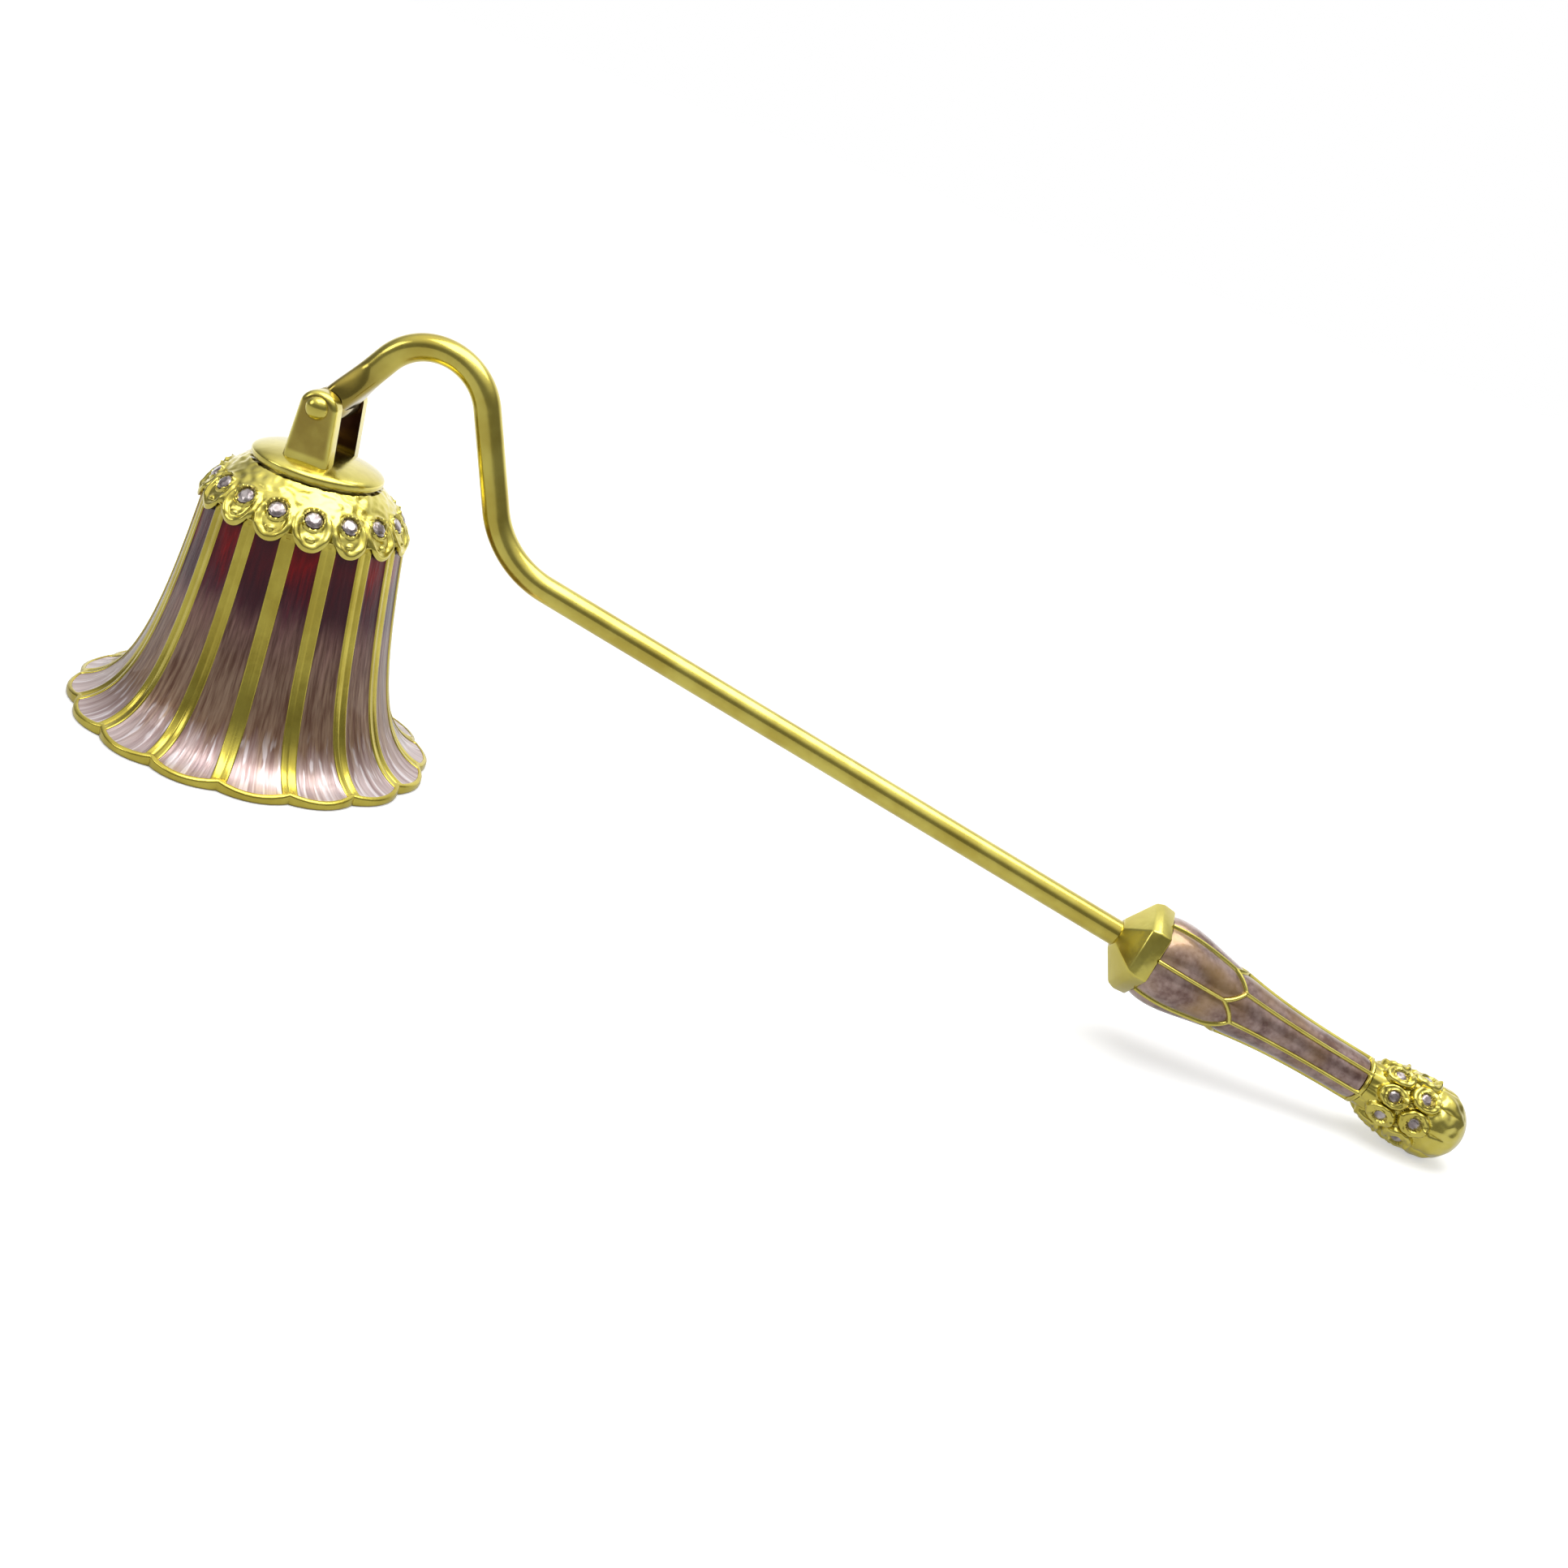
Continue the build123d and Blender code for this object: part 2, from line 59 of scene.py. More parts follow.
cell_depth = 0.8
cell_top, cell_edge = 0.6, 0.05
lip_width = 0.65
rib_half_widths = (1.05, 1.15)
rib_radii = (12.0, 24.0)       # where the ribs have those widths
crown_rib_radius = 8.0         # inside this the ribs' sectors keep their angle
rib_side_share = 1.02
rib_section = ((0.0, 0.15), (0.10, 0.14), (0.20, 0.08), (0.40, 0.06), (0.60, 0.03), (0.76, 0.0),
               (0.87, 0.03), (0.95, 0.12), (1.0, 0.30))
cell_columns = (0.0, 0.35, 0.7, 1.0)
cell_rows, throat_rows, vault_rows = 72, 30, 8
cell_foot_rows = ((-0.1, 1.0), (-0.03, 0.35), (0.06, 0.05), (0.16, 0.0))
lip_rows = ((0.16, 0.04), (0.04, -0.08), (0.0, -0.26))
foot_rows = ((0.0, 0.34), (0.06, 0.12), (0.2, 0.0))
lip_top = 0.34
merge_distance = 0.001 * millimetre


def bezier(points, share):
    """Point at a share of the way along a curve given by its control points."""
    while len(points) > 1:
        points = [start.lerp(end, share) for start, end in zip(points, points[1:])]
    return points[0]


def drawn(curve, steps):
    """The points of a curve from its start to its end, in so many steps."""
    points = [Vector(point) for point in curve]
    return [bezier(points, step / steps) for step in range(steps + 1)]


def centred(turn, step):
    """Angle from the middle of the nearest of the like parts that stand a step apart."""
    return (turn + step / 2) % step - step / 2


def around(turn, radius, height):
    """Place at an angle round the upright axis."""
    return Vector((radius * cos(turn), radius * sin(turn), height))


def eased(share):
    """A smooth step from 0 to 1."""
    share = min(max(share, 0.0), 1.0)
    return share * share * (3 - 2 * share)


class Outline:
    """Outline of a turned piece from its top down, as radius and height, found by the distance along it."""

    def __init__(self, points):
        self.points, self.runs = points, [0.0]
        for start, end in zip(points, points[1:]):
            self.runs.append(self.runs[-1] + (end - start).length)
        self.length = self.runs[-1]

    def at(self, run, sink=0.0):
        step = min(max(bisect(self.runs, run) - 1, 0), len(self.points) - 2)
        way = (self.points[step + 1] - self.points[step]).normalized()
        return self.points[step] + way * (run - self.runs[step]) - Vector((-way.y, way.x)) * sink


bell_side = Outline([*drawn(bell_curve, 200), Vector((rim_radius, rim_height))])
chord_half, chord_reach = notch_radius * sin(rib_step / 2), notch_radius * cos(rib_step / 2)
scallop_rise = rim_radius - chord_reach
scallop_round = (chord_half ** 2 + scallop_rise ** 2) / (2 * scallop_rise)
scallop_centre = rim_radius - scallop_round


def scallop(turn):
    """How far the rim draws in at an angle, from its reach in the middle of a scallop."""
    off = centred(turn, rib_step)
    reach = sqrt(scallop_round ** 2 - (scallop_centre * sin(off)) ** 2)
    return scallop_share * (scallop_round - scallop_centre * (cos(off) - 1) - reach)


def on_bell(turn, run, sink):
    """Place on the bell's outside at an angle, a distance down from the shoulder and a depth below it."""
    drawn = scallop(turn) * eased((run - bell_side.length) / scallop_run + 1)
    point = bell_side.at(run - drawn, sink)
    return around(turn, point.x, point.y)


def rib_half(radius):
    """Half of a rib's width as an angle, at a radius of the bell."""
    (narrow, wide), (start, end) = rib_half_widths, rib_radii
    return (narrow + (wide - narrow) * (radius - start) / (end - start)) / radius


def laid(columns, rows, place):
    """A grid wrapped round an axis so that its sides meet, each row where the piece has it."""
    shape = bmesh.new()
    bmesh.ops.create_grid(shape, x_segments=columns, y_segments=rows, size=0.5)
    for vert in shape.verts:
        column, row = round((vert.co.x + 0.5) * columns), round((vert.co.y + 0.5) * rows)
        vert.co = place(column % columns, row) * millimetre
    return shape


def wrapped(name, columns, rows, place):
    """Wraps a grid round a piece, so that its sides meet and its last row meets its first."""
    return finished(laid(columns, rows, lambda column, row: place(column, row % rows)), name)


def as_mesh(shape, name):
    mesh = bpy.data.meshes.new(name)
    shape.to_mesh(mesh)
    shape.free()
    return mesh


def in_scene(name, data):
    """Puts a mesh, a lamp or a camera in the scene as an object."""
    new = bpy.data.objects.new(name, data)
    bpy.context.scene.collection.objects.link(new)
    return new


def finished(shape, name, crease=35):
    """Joins what meets, turns the faces outwards, smooths the round ones and makes the object."""
    bmesh.ops.remove_doubles(shape, verts=shape.verts, dist=merge_distance)
    bmesh.ops.recalc_face_normals(shape, faces=shape.faces)
    for face in shape.faces:
        face.smooth = True
    for edge in shape.edges:
        edge.smooth = edge.calc_face_angle(0.0) < radians(crease)
    return in_scene(name, as_mesh(shape, name))


def fitted(piece, node, body, material):
    """Puts a finished piece in the place of a CAD node."""
    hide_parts(node)
    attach(piece, body)
    piece.data.materials.append(material)


half_rib = [(share, 0.0, sink) for share, sink in rib_section]
half_rib += [(rib_side_share, across, cell_depth) for across in cell_columns]
rib_columns = [(-share, -across, sink) for share, across, sink in reversed(half_rib[1:])] + half_rib[:-1]
cell_foot = bell_side.length - lip_width
cell_length = cell_foot - cell_top
bell_rows = [("ring", *ring) for ring in crown_rings]
bell_rows += [("wall", 0.0, 0.0), ("wall", cell_top - cell_edge, 0.0), ("wall", cell_top + cell_edge, 1.0)]
bell_rows += [("wall", cell_top + cell_length * step / cell_rows, 1.0) for step in range(1, cell_rows)]
bell_rows += [("wall", cell_foot + run, share) for run, share in cell_foot_rows]
bell_rows += [("wall", bell_side.length - lip_top, 0.0)]
bell_rows += [("lip", *row) for row in lip_rows] + [("foot", *row) for row in foot_rows]
bell_rows += [("ring", mouth_radius, 0.0)]
bell_rows += [("ring", *point) for point in drawn(throat_curve, throat_rows)]
bell_rows += [("ring", *point) for point in drawn(vault_curve, vault_rows)[1:]]


def bell_point(column, row):
    sector, part = divmod(column, len(rib_columns))
    share, across, sink = rib_columns[part]
    middle = (sector + 0.5) * rib_step
    kind, first, second = bell_rows[row]
    radius = bell_side.at(first).x if kind == "wall" else first if kind == "ring" else rim_radius
    half = rib_half(min(max(radius, crown_rib_radius), rim_radius))
    turn = middle + share * half + across * (rib_step / 2 - rib_side_share * half)
    if kind == "wall":
        return on_bell(turn, first, sink * second)
    if kind == "ring":
        return around(turn, first, second)
    edge = bell_side.at(bell_side.length - scallop(turn))
    height = edge.y + second if kind == "lip" else second
    return around(turn, edge.x - first, height)


class Paint:
    """A value in a material's nodes. Written sums and products of paints add Math nodes."""

    def __init__(self, tree, socket=None):
        self.tree, self.socket = tree, socket

    def node(self, kind, settings=None, sockets=None, output=0):
        """Adds any node: its settings first, then the values or paints of its sockets."""
        new = self.tree.nodes.new("ShaderNode" + kind)
        for name, value in (settings or {}).items():
            if name == "stops":
                while len(new.color_ramp.elements) < len(value):
                    new.color_ramp.elements.new(1.0)
                for element, (place, colour) in zip(new.color_ramp.elements, value):
                    element.position, element.color = place, (*colour, 1.0)
            else:
                setattr(new, name, value)
        for name, value in (sockets or {}).items():
            if isinstance(value, Paint):
                self.tree.links.new(value.socket, new.inputs[name])
            else:
                new.inputs[name].default_value = value
        return Paint(self.tree, new.outputs[output])

    def maths(self, operation, first, second=0.0):
        return self.node("Math", {"operation": operation}, {0: first, 1: second})

    def __add__(self, other):
        return self.maths("ADD", self, other)

    __radd__ = __add__

    def __sub__(self, other):
        return self.maths("SUBTRACT", self, other)

    def __rsub__(self, other):
        return self.maths("SUBTRACT", other, self)

    def __mul__(self, other):
        return self.maths("MULTIPLY", self, other)

    __rmul__ = __mul__

    def between(self, low, high):
        """0 below one limit, 1 above the other, and a smooth step from one to the other."""
        return self.node("MapRange", {"interpolation_type": "SMOOTHSTEP"},
                         {"Value": self, "From Min": low, "From Max": high})

    def mixed(self, low, high):
        """Goes from one colour to another as this value goes from 0 to 1."""
        low, high = [(*value, 1.0) if isinstance(value, tuple) else value for value in (low, high)]
        return self.node("Mix", {"data_type": "RGBA"}, {"Factor": self, 6: low, 7: high}, 2)

    def noise(self, scale, detail=2.0, roughness=0.5):
        sockets = {"Vector": self, "Scale": scale, "Detail": detail, "Roughness": roughness}
        return self.node("TexNoise", {}, sockets)

    def axes(self):
        """The three parts of a vector."""
        parts = self.tree.nodes.new("ShaderNodeSeparateXYZ")
        self.tree.links.new(self.socket, parts.inputs[0])
        return [Paint(self.tree, output) for output in parts.outputs]


def new_finish(name):
    """A new material, and its place on the object in metres as a paint."""
    material = bpy.data.materials.new(name)
    material.use_nodes = True
    return material, Paint(material.node_tree).node("TexCoord", output="Object")


def coat_with(material, **sockets):
    """Sets the shader's sockets, each to a value or to a paint."""
    shader = material.node_tree.nodes["Principled BSDF"]
    for name, value in sockets.items():
        socket = shader.inputs[name.replace("_", " ")]
        if isinstance(value, Paint):
            material.node_tree.links.new(value.socket, socket)
        else:
            socket.default_value = value


def gold_finish(name, worn, fresh, corner_shade, roughness, dents=0.16, coat=0.35):
    """Gold plate over a casting: soft unevenness, fine polishing grain, and painted shade that darkens its
    corners.
    """
    material, place = new_finish(name)
    patches = place.noise(150.0, 3.0, 0.6)
    grain = place.noise(2600.0)
    waves = place.noise(430.0) + 0.10 * grain
    # Painted shade: ambient occlusion darkens the gold in its corners and creases.
    unshaded = place.node("AmbientOcclusion", {"samples": 8}, {"Distance": 1.2 * millimetre}, "AO")
    tint = patches.between(0.34, 0.68).mixed(worn, fresh)
    colour = unshaded.between(0.15, 0.72).mixed(corner_shade, tint)
    bump = place.node("Bump", {}, {"Strength": dents, "Distance": 0.12 * millimetre, "Height": waves})
    coat_with(material, Base_Color=colour, Metallic=1.0, Normal=bump, Coat_Weight=coat, Coat_Roughness=0.12,
              Roughness=roughness + 0.08 * (grain - 0.5) + 0.10 * (patches - 0.5))
    return material


bell_gold = gold_finish("bell_gold", (0.55, 0.440, 0.058), (0.70, 0.590, 0.095), (0.17, 0.12, 0.014), 0.24)
bell = wrapped("bell_casting", rib_count * len(rib_columns), len(bell_rows), bell_point)
fitted(bell, "bell_shell", "bell_side", bell_gold)

# Bell enamel: sixteen fills of translucent enamel over the engraved ground of their cells, ruby under the
# leaves, plum to brown mauve down the wall, and pearly with painted highlights where the bell flares out.
# Fired, then polished flush.
enamel_sink = 0.24
enamel_rise = 0.10             # where the enamel climbs at the edges of its cell
enamel_thickness = 0.4
enamel_margin = 0.02           # left between the fill and the top of its cell
enamel_side_share = 0.97
panel_columns, panel_rows = 18, 84
tones_per_metre = 30.3         # the tones run once from the bell's foot to its shoulder
deep_tones = ((0.00, (0.42, 0.30, 0.30)), (0.09, (0.31, 0.19, 0.17)), (0.19, (0.165, 0.078, 0.048)),
              (0.40, (0.135, 0.064, 0.044)), (0.60, (0.095, 0.038, 0.032)), (0.71, (0.045, 0.008, 0.017)),
              (0.79, (0.060, 0.003, 0.010)), (0.89, (0.155, 0.002, 0.004)), (1.00, (0.06, 0.001, 0.003)))
pale_tones = ((0.00, (0.82, 0.70, 0.70)), (0.09, (0.70, 0.56, 0.54)), (0.19, (0.44, 0.290, 0.190)),
              (0.40, (0.40, 0.270, 0.190)), (0.60, (0.31, 0.175, 0.145)), (0.71, (0.130, 0.036, 0.048)),
              (0.79, (0.150, 0.010, 0.018)), (0.89, (0.270, 0.004, 0.007)), (1.00, (0.10, 0.001, 0.004)))
plum_low, plum_high = 18.5, 24.0
glint_high, glint_low = 8.5, 2.5


def sheet(name, columns, rows, place, thickness):
    """A grid laid on a surface and given a thickness below it."""
    shape = bmesh.new()
    bmesh.ops.create_grid(shape, x_segments=columns, y_segments=rows, size=1.0)
    bmesh.ops.recalc_face_normals(shape, faces=shape.faces)
    front = shape.faces[:]
    below = bmesh.ops.extrude_face_region(shape, geom=front)["geom"]
    sunk = {item for item in below if isinstance(item, bmesh.types.BMVert)}
    for vert in shape.verts:
        vert.co = place(vert.co.x, (vert.co.y + 1) / 2, thickness if vert in sunk else 0.0) * millimetre
    return finished(shape, name, 60)


def bell_panel_point(across, along, depth):
    run = cell_top + enamel_margin + (cell_foot - enamel_margin - cell_top) * along
    half = rib_step / 2 - enamel_side_share * rib_half(bell_side.at(run).x)
    climb = max(abs(across) ** 9, abs(2 * along - 1) ** 60)
    return on_bell(across * half, run, enamel_sink - enamel_rise * climb + depth)


def bell_enamel_finish():
    material, place = new_finish("bell_enamel")
    x, y, z = place.axes()
    flat = place.node("CombineXYZ", {}, {"X": x, "Y": y})
    around_x, around_y, _ = place.node("VectorMath", {"operation": "NORMALIZE"}, {0: flat}).axes()

    def drawn_out(across, along, detail):
        """Cloudiness drawn out across or along the panels."""
        spot = place.node("CombineXYZ", {}, {"X": around_x * across, "Y": around_y * across, "Z": z * along})
        return spot.noise(1.0, detail, 0.6)

    streak = drawn_out(30.0, 150.0, 3.0)
    fine = drawn_out(95.0, 330.0, 2.0)
    cloud = drawn_out(12.0, 170.0, 2.0)
    engraving = drawn_out(27.0, 300.0, 1.5)
    height = z * tones_per_metre + 0.26 * (cloud - 0.5) + 0.10 * (streak - 0.5)
    deep = place.node("ValToRGB", {"stops": deep_tones}, {"Fac": height})
    pale = place.node("ValToRGB", {"stops": pale_tones}, {"Fac": height})
    shine = (0.6 * streak + 0.2 * fine + 0.2 * cloud).between(0.34, 0.68)
    colour = shine.mixed(deep, pale)
    # Painted light: the panels on one side, towards the lamps and the camera, keep their bright ruby clear of
    # the dark plum, as where light falls through the enamel.
    lit_ruby_side = (around_x * 0.38 - around_y * 0.92).between(0.95, 0.985)
    plum = drawn_out(2.4, 30.0, 0.0).between(0.44, 0.60)
    plum = plum * z.between(plum_low * millimetre, plum_high * millimetre) * 0.8
    colour = (plum * (1.0 - lit_ruby_side)).mixed(colour, (0.050, 0.010, 0.017))
    # Painted highlights: near white glints in the engraving where the bell flares out.
    painted_glint = engraving.between(0.545, 0.66) * z.between(glint_high * millimetre, glint_low * millimetre) * 0.7
    colour = painted_glint.mixed(colour, (0.95, 0.88, 0.90))
    # Painted shade: ambient occlusion darkens the enamel almost to black in its corners against the ribs.
    corner = place.node("AmbientOcclusion", {"samples": 8}, {"Distance": 0.7 * millimetre}, "AO")
    colour = corner.between(0.35, 0.85).mixed((0.030, 0.004, 0.004), colour)
    bump = place.node("Bump", {}, {"Strength": 0.6, "Distance": 0.18 * millimetre,
                                   "Height": engraving + 0.35 * streak + 0.12 * fine})
    coat_with(material, Base_Color=colour, Metallic=0.6, Roughness=0.36, Normal=bump, Specular_IOR_Level=0.2,
              Coat_Weight=0.8, Coat_Roughness=0.07, Coat_IOR=1.32)
    return material


def turned_copy(first, name, matrix):
    """A copy of a finished piece, turned in its mesh to its own place."""
    copy = in_scene(name, first.data.copy())
    copy.data.materials.clear()
    copy.data.transform(matrix)
    return copy


bell_enamel = bell_enamel_finish()
first_panel = sheet("bell_panel_01", panel_columns, panel_rows, bell_panel_point, enamel_thickness)
for number in range(1, rib_count + 1):
    panel = first_panel
    if number > 1:
        turn = Matrix.Rotation((number - 1) * rib_step, 4, "Z")
        panel = turned_copy(first_panel, f"bell_panel_{number:02d}", turn)
    fitted(panel, f"bell_enamel_{number:02d}", "bell_side", bell_enamel)

# Leaf collar: a dome whose edge ends in sixteen leaves with raised rims and hollow middles, cast, gold plated
# and soldered over the crown of the bell. Each leaf has a round seat with four small beads for its stone.
collar_foot = Vector((14.25, 31.4))
dome_curve = ((9.0, 38.6), (11.09, 36.86), (13.69, 34.37), (14.1, 32.8))
collar_side = Outline([Vector((8.4, 38.6)), Vector((8.75, 38.56)), *drawn(dome_curve, 60), collar_foot])
collar_inside = ((13.8, 31.45), (13.72, 32.2), (13.7, 33.0), (13.25, 33.02), (12.35, 34.5), (10.4, 36.1),
                 (8.35, 37.62), (2.45, 37.62), (2.45, 38.6), (5.0, 38.6), (7.4, 38.6))
shoulder_height = 33.0
leaf_columns, leaf_levels = 34, 58
level_power = 1.15             # crowds the rows towards the leaves
leaf_half_width, leaf_half_height = 2.62, 3.3
leaf_valley = 1.75             # how far the collar's edge rises between two leaves
collar_edge = 0.02
collar_stone_run = 4.55        # middle of a stone above the leaf's tip
leaf_rim = (0.84, 0.24, 0.24)  # each ridge: its middle, how far it reaches, and how high it is
seat_rim = (1.38, 0.34, 0.30)
seat_bead = (0.0, 0.36, 0.26)
tip_bead = (0.0, 0.75, 0.34)
tip_bead_up = 1.75
bead_circle = 1.42
bead_places = [(bead_circle * cos(radians(angle)), bead_circle * sin(radians(angle)))
               for angle in (38, 142, 218, 322)]
leaf_hollow, leaf_gap = 0.20, 0.26
seat_radius, seat_depth = 1.20, 0.25
leaf_sink = 0.15
skin_height, skin_waves = 0.13, 0.85


def hump(distance, reach):
    """A smooth hump, 1 in its middle and 0 past its reach."""
    return eased(1 - abs(distance) / reach)


def ridge(distance, middle, reach, rise):
    """A smooth ridge that stands round its middle."""
    return rise * hump(distance - middle, reach)


def past(value, start, length):
    """0 up to a start and 1 a length past it. A length below zero looks the other way."""
    return eased((value - start) / length)


def leaf_relief(across, up):
    """Height of a leaf above the dome: its rim, its hollow, the seat of its stone and the beads."""
    ring = hypot(across / leaf_half_width, (up - leaf_half_height) / leaf_half_height)
    from_stone = hypot(across, up - collar_stone_run)
    relief = ridge(ring, *leaf_rim) * (1 - 0.75 * past(up, 4.2, 2.2))
    relief -= leaf_hollow * past(ring, 0.74, -0.20) * (1 - 0.6 * past(up, 4.8, 1.5))
    relief -= leaf_gap * past(ring, 0.98, 0.14) * (1 - past(up, 2.6, 1.8))
    relief += ridge(from_stone, *seat_rim)
    if from_stone < seat_radius:
        relief = min(relief, -seat_depth)
    relief += sum(ridge(hypot(across - x, up - collar_stone_run - y), *seat_bead) for x, y in bead_places)
    relief += ridge(hypot(across, (up - tip_bead_up) * 1.3), *tip_bead)
    return relief - leaf_sink * (1 - past(up, 4.5, 2.0))


def cast_skin(turn, radius, up, waves):
    """Unevenness that the mould leaves, with so many waves to the millimetre."""
    return noise.noise(around(turn, radius, up) * waves)


def leaf_edge(across):
    """How far the collar's edge lies above the tips of the leaves."""
    share = min(abs(across) / leaf_half_width, 1.0)
    return min(leaf_half_height * (1 - sqrt(1 - share * share)), leaf_valley)


def collar_point(column, row):
    sector, part = divmod(column, leaf_columns)
    off = (part / leaf_columns - 0.5) * rib_step
    turn = sector * rib_step + off
    foot = leaf_edge(off * collar_foot.x)
    if row < leaf_levels:
        share = (row / (leaf_levels - 1)) ** level_power
        up = foot + collar_edge + (collar_side.length - foot - collar_edge) * share
        radius = collar_side.at(collar_side.length - up).x
        relief = leaf_relief(off * radius, up) + skin_height * cast_skin(turn, radius, up, skin_waves)
        point = collar_side.at(collar_side.length - up, -relief)
    else:
        ring = collar_inside[len(collar_inside) - 1 - (row - leaf_levels)]
        point = Vector(ring) + Vector((0.0, foot * past(ring[1], shoulder_height, -1.5)))
    return around(turn, point.x, point.y)


collar_gold = gold_finish("collar_gold", (0.67, 0.560, 0.085), (0.82, 0.720, 0.15), (0.18, 0.13, 0.014),
                          0.22, 0.45, 0.7)
collar = wrapped("leaf_collar_dome", rib_count * leaf_columns, leaf_levels + len(collar_inside), collar_point)
fitted(collar, "leaf_collar", "bell_side", collar_gold)

# Collar stones: small round flat backed stones of lilac grey glass with foil behind them, cut with a flat top
# and two rows of facets, and set in the leaves.
collar_stone_radius = 1.15
collar_stone_sink = 0.12
stone_levels = ((1.0, -0.42, 16, 0.0), (1.0, 0.02, 16, 0.0), (0.80, 0.22, 8, 0.5), (0.50, 0.34, 8, 0.0))


def cut_stones(name, places, radius):
    """Cut stones, each the skin stretched over its rings of corners."""
    stones = bmesh.new()
    for place in places:
        stone = bmesh.new()
        for share, height, sides, shift in stone_levels:
            ring = bmesh.ops.create_circle(stone, segments=sides, radius=radius * share)["verts"]
            turn = Matrix.Rotation(shift * tau / sides, 3, "Z")
            bmesh.ops.rotate(stone, verts=ring, cent=(0, 0, 0), matrix=turn)
            bmesh.ops.translate(stone, verts=ring, vec=(0.0, 0.0, height))
        bmesh.ops.convex_hull(stone, input=stone.verts)
        bmesh.ops.transform(stone, matrix=Matrix.Scale(millimetre, 4) @ place, verts=stone.verts)
        part = as_mesh(stone, "stone")
        stones.from_mesh(part)
        bpy.data.meshes.remove(part)
    return finished(stones, name, 3)


def seat(outline, run, sink, turn):
    """Where a stone sits: its place and its upright, sunk below a turned piece's outline at an angle."""
    point = outline.at(run, sink)
    outwards = outline.at(run, sink - 1) - point
    away = Vector((cos(turn), sin(turn), 0.0))
    upright = (away * outwards.x + Vector((0.0, 0.0, outwards.y))).normalized()
    along = Vector((-sin(turn), cos(turn), 0.0))
    columns = Matrix((along, upright.cross(along), upright)).transposed().to_4x4()
    return Matrix.Translation(away * point.x + Vector((0.0, 0.0, point.y))) @ columns


def stone_finish():
    material, place = new_finish("foiled_stone")
    cloud = place.noise(800.0, 1.0)
    colour = cloud.between(0.38, 0.62).mixed((0.25, 0.20, 0.20), (0.60, 0.53, 0.52))
    coat_with(material, Base_Color=colour, Metallic=0.75, Roughness=0.22, Coat_Weight=1.0,
              Coat_Roughness=0.03)
    return material


foiled_stone = stone_finish()
for number in range(1, rib_count + 1):
    turn = (number - 1) * rib_step
    place = seat(collar_side, collar_side.length - collar_stone_run, collar_stone_sink, turn)
    stone = cut_stones(f"collar_stone_{number:02d}", [place], collar_stone_radius)
    fitted(stone, f"collar_crystal_{number:02d}", "bell_side", foiled_stone)

# Hinge cap: a domed disc with two upright ears, cast in one piece with the stud that goes down through the
# collar and is peened over inside the bell. The ears are ground flat on their faces and rounded at the edges.
cap_outline = ((0.0, 35.4), (2.8, 35.4), (3.6, 36.2), (2.4, 36.2), (2.4, 38.6), (8.3, 38.6), (8.3, 38.98),
               (8.58, 38.95), (8.80, 39.05), (8.9, 39.28), (8.92, 39.50))
cap_curve = ((8.9, 39.75), (8.7, 40.55), (5.2, 41.7), (0.0, 41.7))
pin_height = round(frame["joints"][0]["pos_m"][2] / millimetre, 3)
ear_top, ear_side, ear_root, ear_drop = 2.3, 2.6, 3.2, 7.1
ear_inside, ear_outside = 4.2, 6.7
ear_round = 1.0
# Where the painted shade lies on the cap: heights above the disc, and widths at the gap and at the ears'
# faces.
ear_shade_low, ear_shade_high = 41.6, 42.2
gap_shade_edge, face_shade_edge = 0.1, 0.3


def turned(shape, outline, segments=96):
    """Spins an outline of radius and height about the upright axis."""
    verts = [shape.verts.new((radius * millimetre, 0.0, height * millimetre)) for radius, height in outline]
    edges = [shape.edges.new(pair) for pair in zip(verts, verts[1:])]
    bmesh.ops.spin(shape, geom=verts + edges, cent=(0, 0, 0), axis=(0, 0, 1), angle=tau, steps=segments,
                   use_merge=True)


def ear(shape, side):
    """Rounded plate standing on the disc: a disc whose lower half is drawn down and widened."""
    new = bmesh.ops.create_circle(shape, cap_ends=True, segments=72, radius=ear_top)["verts"]
    for vert in new:
        low = vert.co.y < -0.001
        place = Vector((vert.co.x * (ear_root if low else ear_side) / ear_top, side * ear_inside,
                        pin_height + vert.co.y - (ear_drop if low else 0.0)))
        vert.co = place * millimetre
    top = bmesh.ops.extrude_face_region(shape, geom=new[0].link_faces[:])["geom"]
    moved = [item for item in top if isinstance(item, bmesh.types.BMVert)]
    bmesh.ops.translate(shape, verts=moved, vec=(0.0, side * (ear_outside - ear_inside) * millimetre, 0.0))
    outer = [edge for edge in {edge for vert in moved for edge in vert.link_edges}
             if all(vert in moved for vert in edge.verts)]
    bmesh.ops.bevel(shape, geom=outer, offset=ear_round * millimetre, affect="EDGES", segments=7, profile=0.5,
                    material=-1)


def plated(material):
    """The place on the object and the colour so far of a finished material, as paints."""
    tree = material.node_tree
    colour = tree.nodes["Principled BSDF"].inputs["Base Color"].links[0].from_socket
    return Paint(tree).node("TexCoord", output="Object"), Paint(tree, colour)


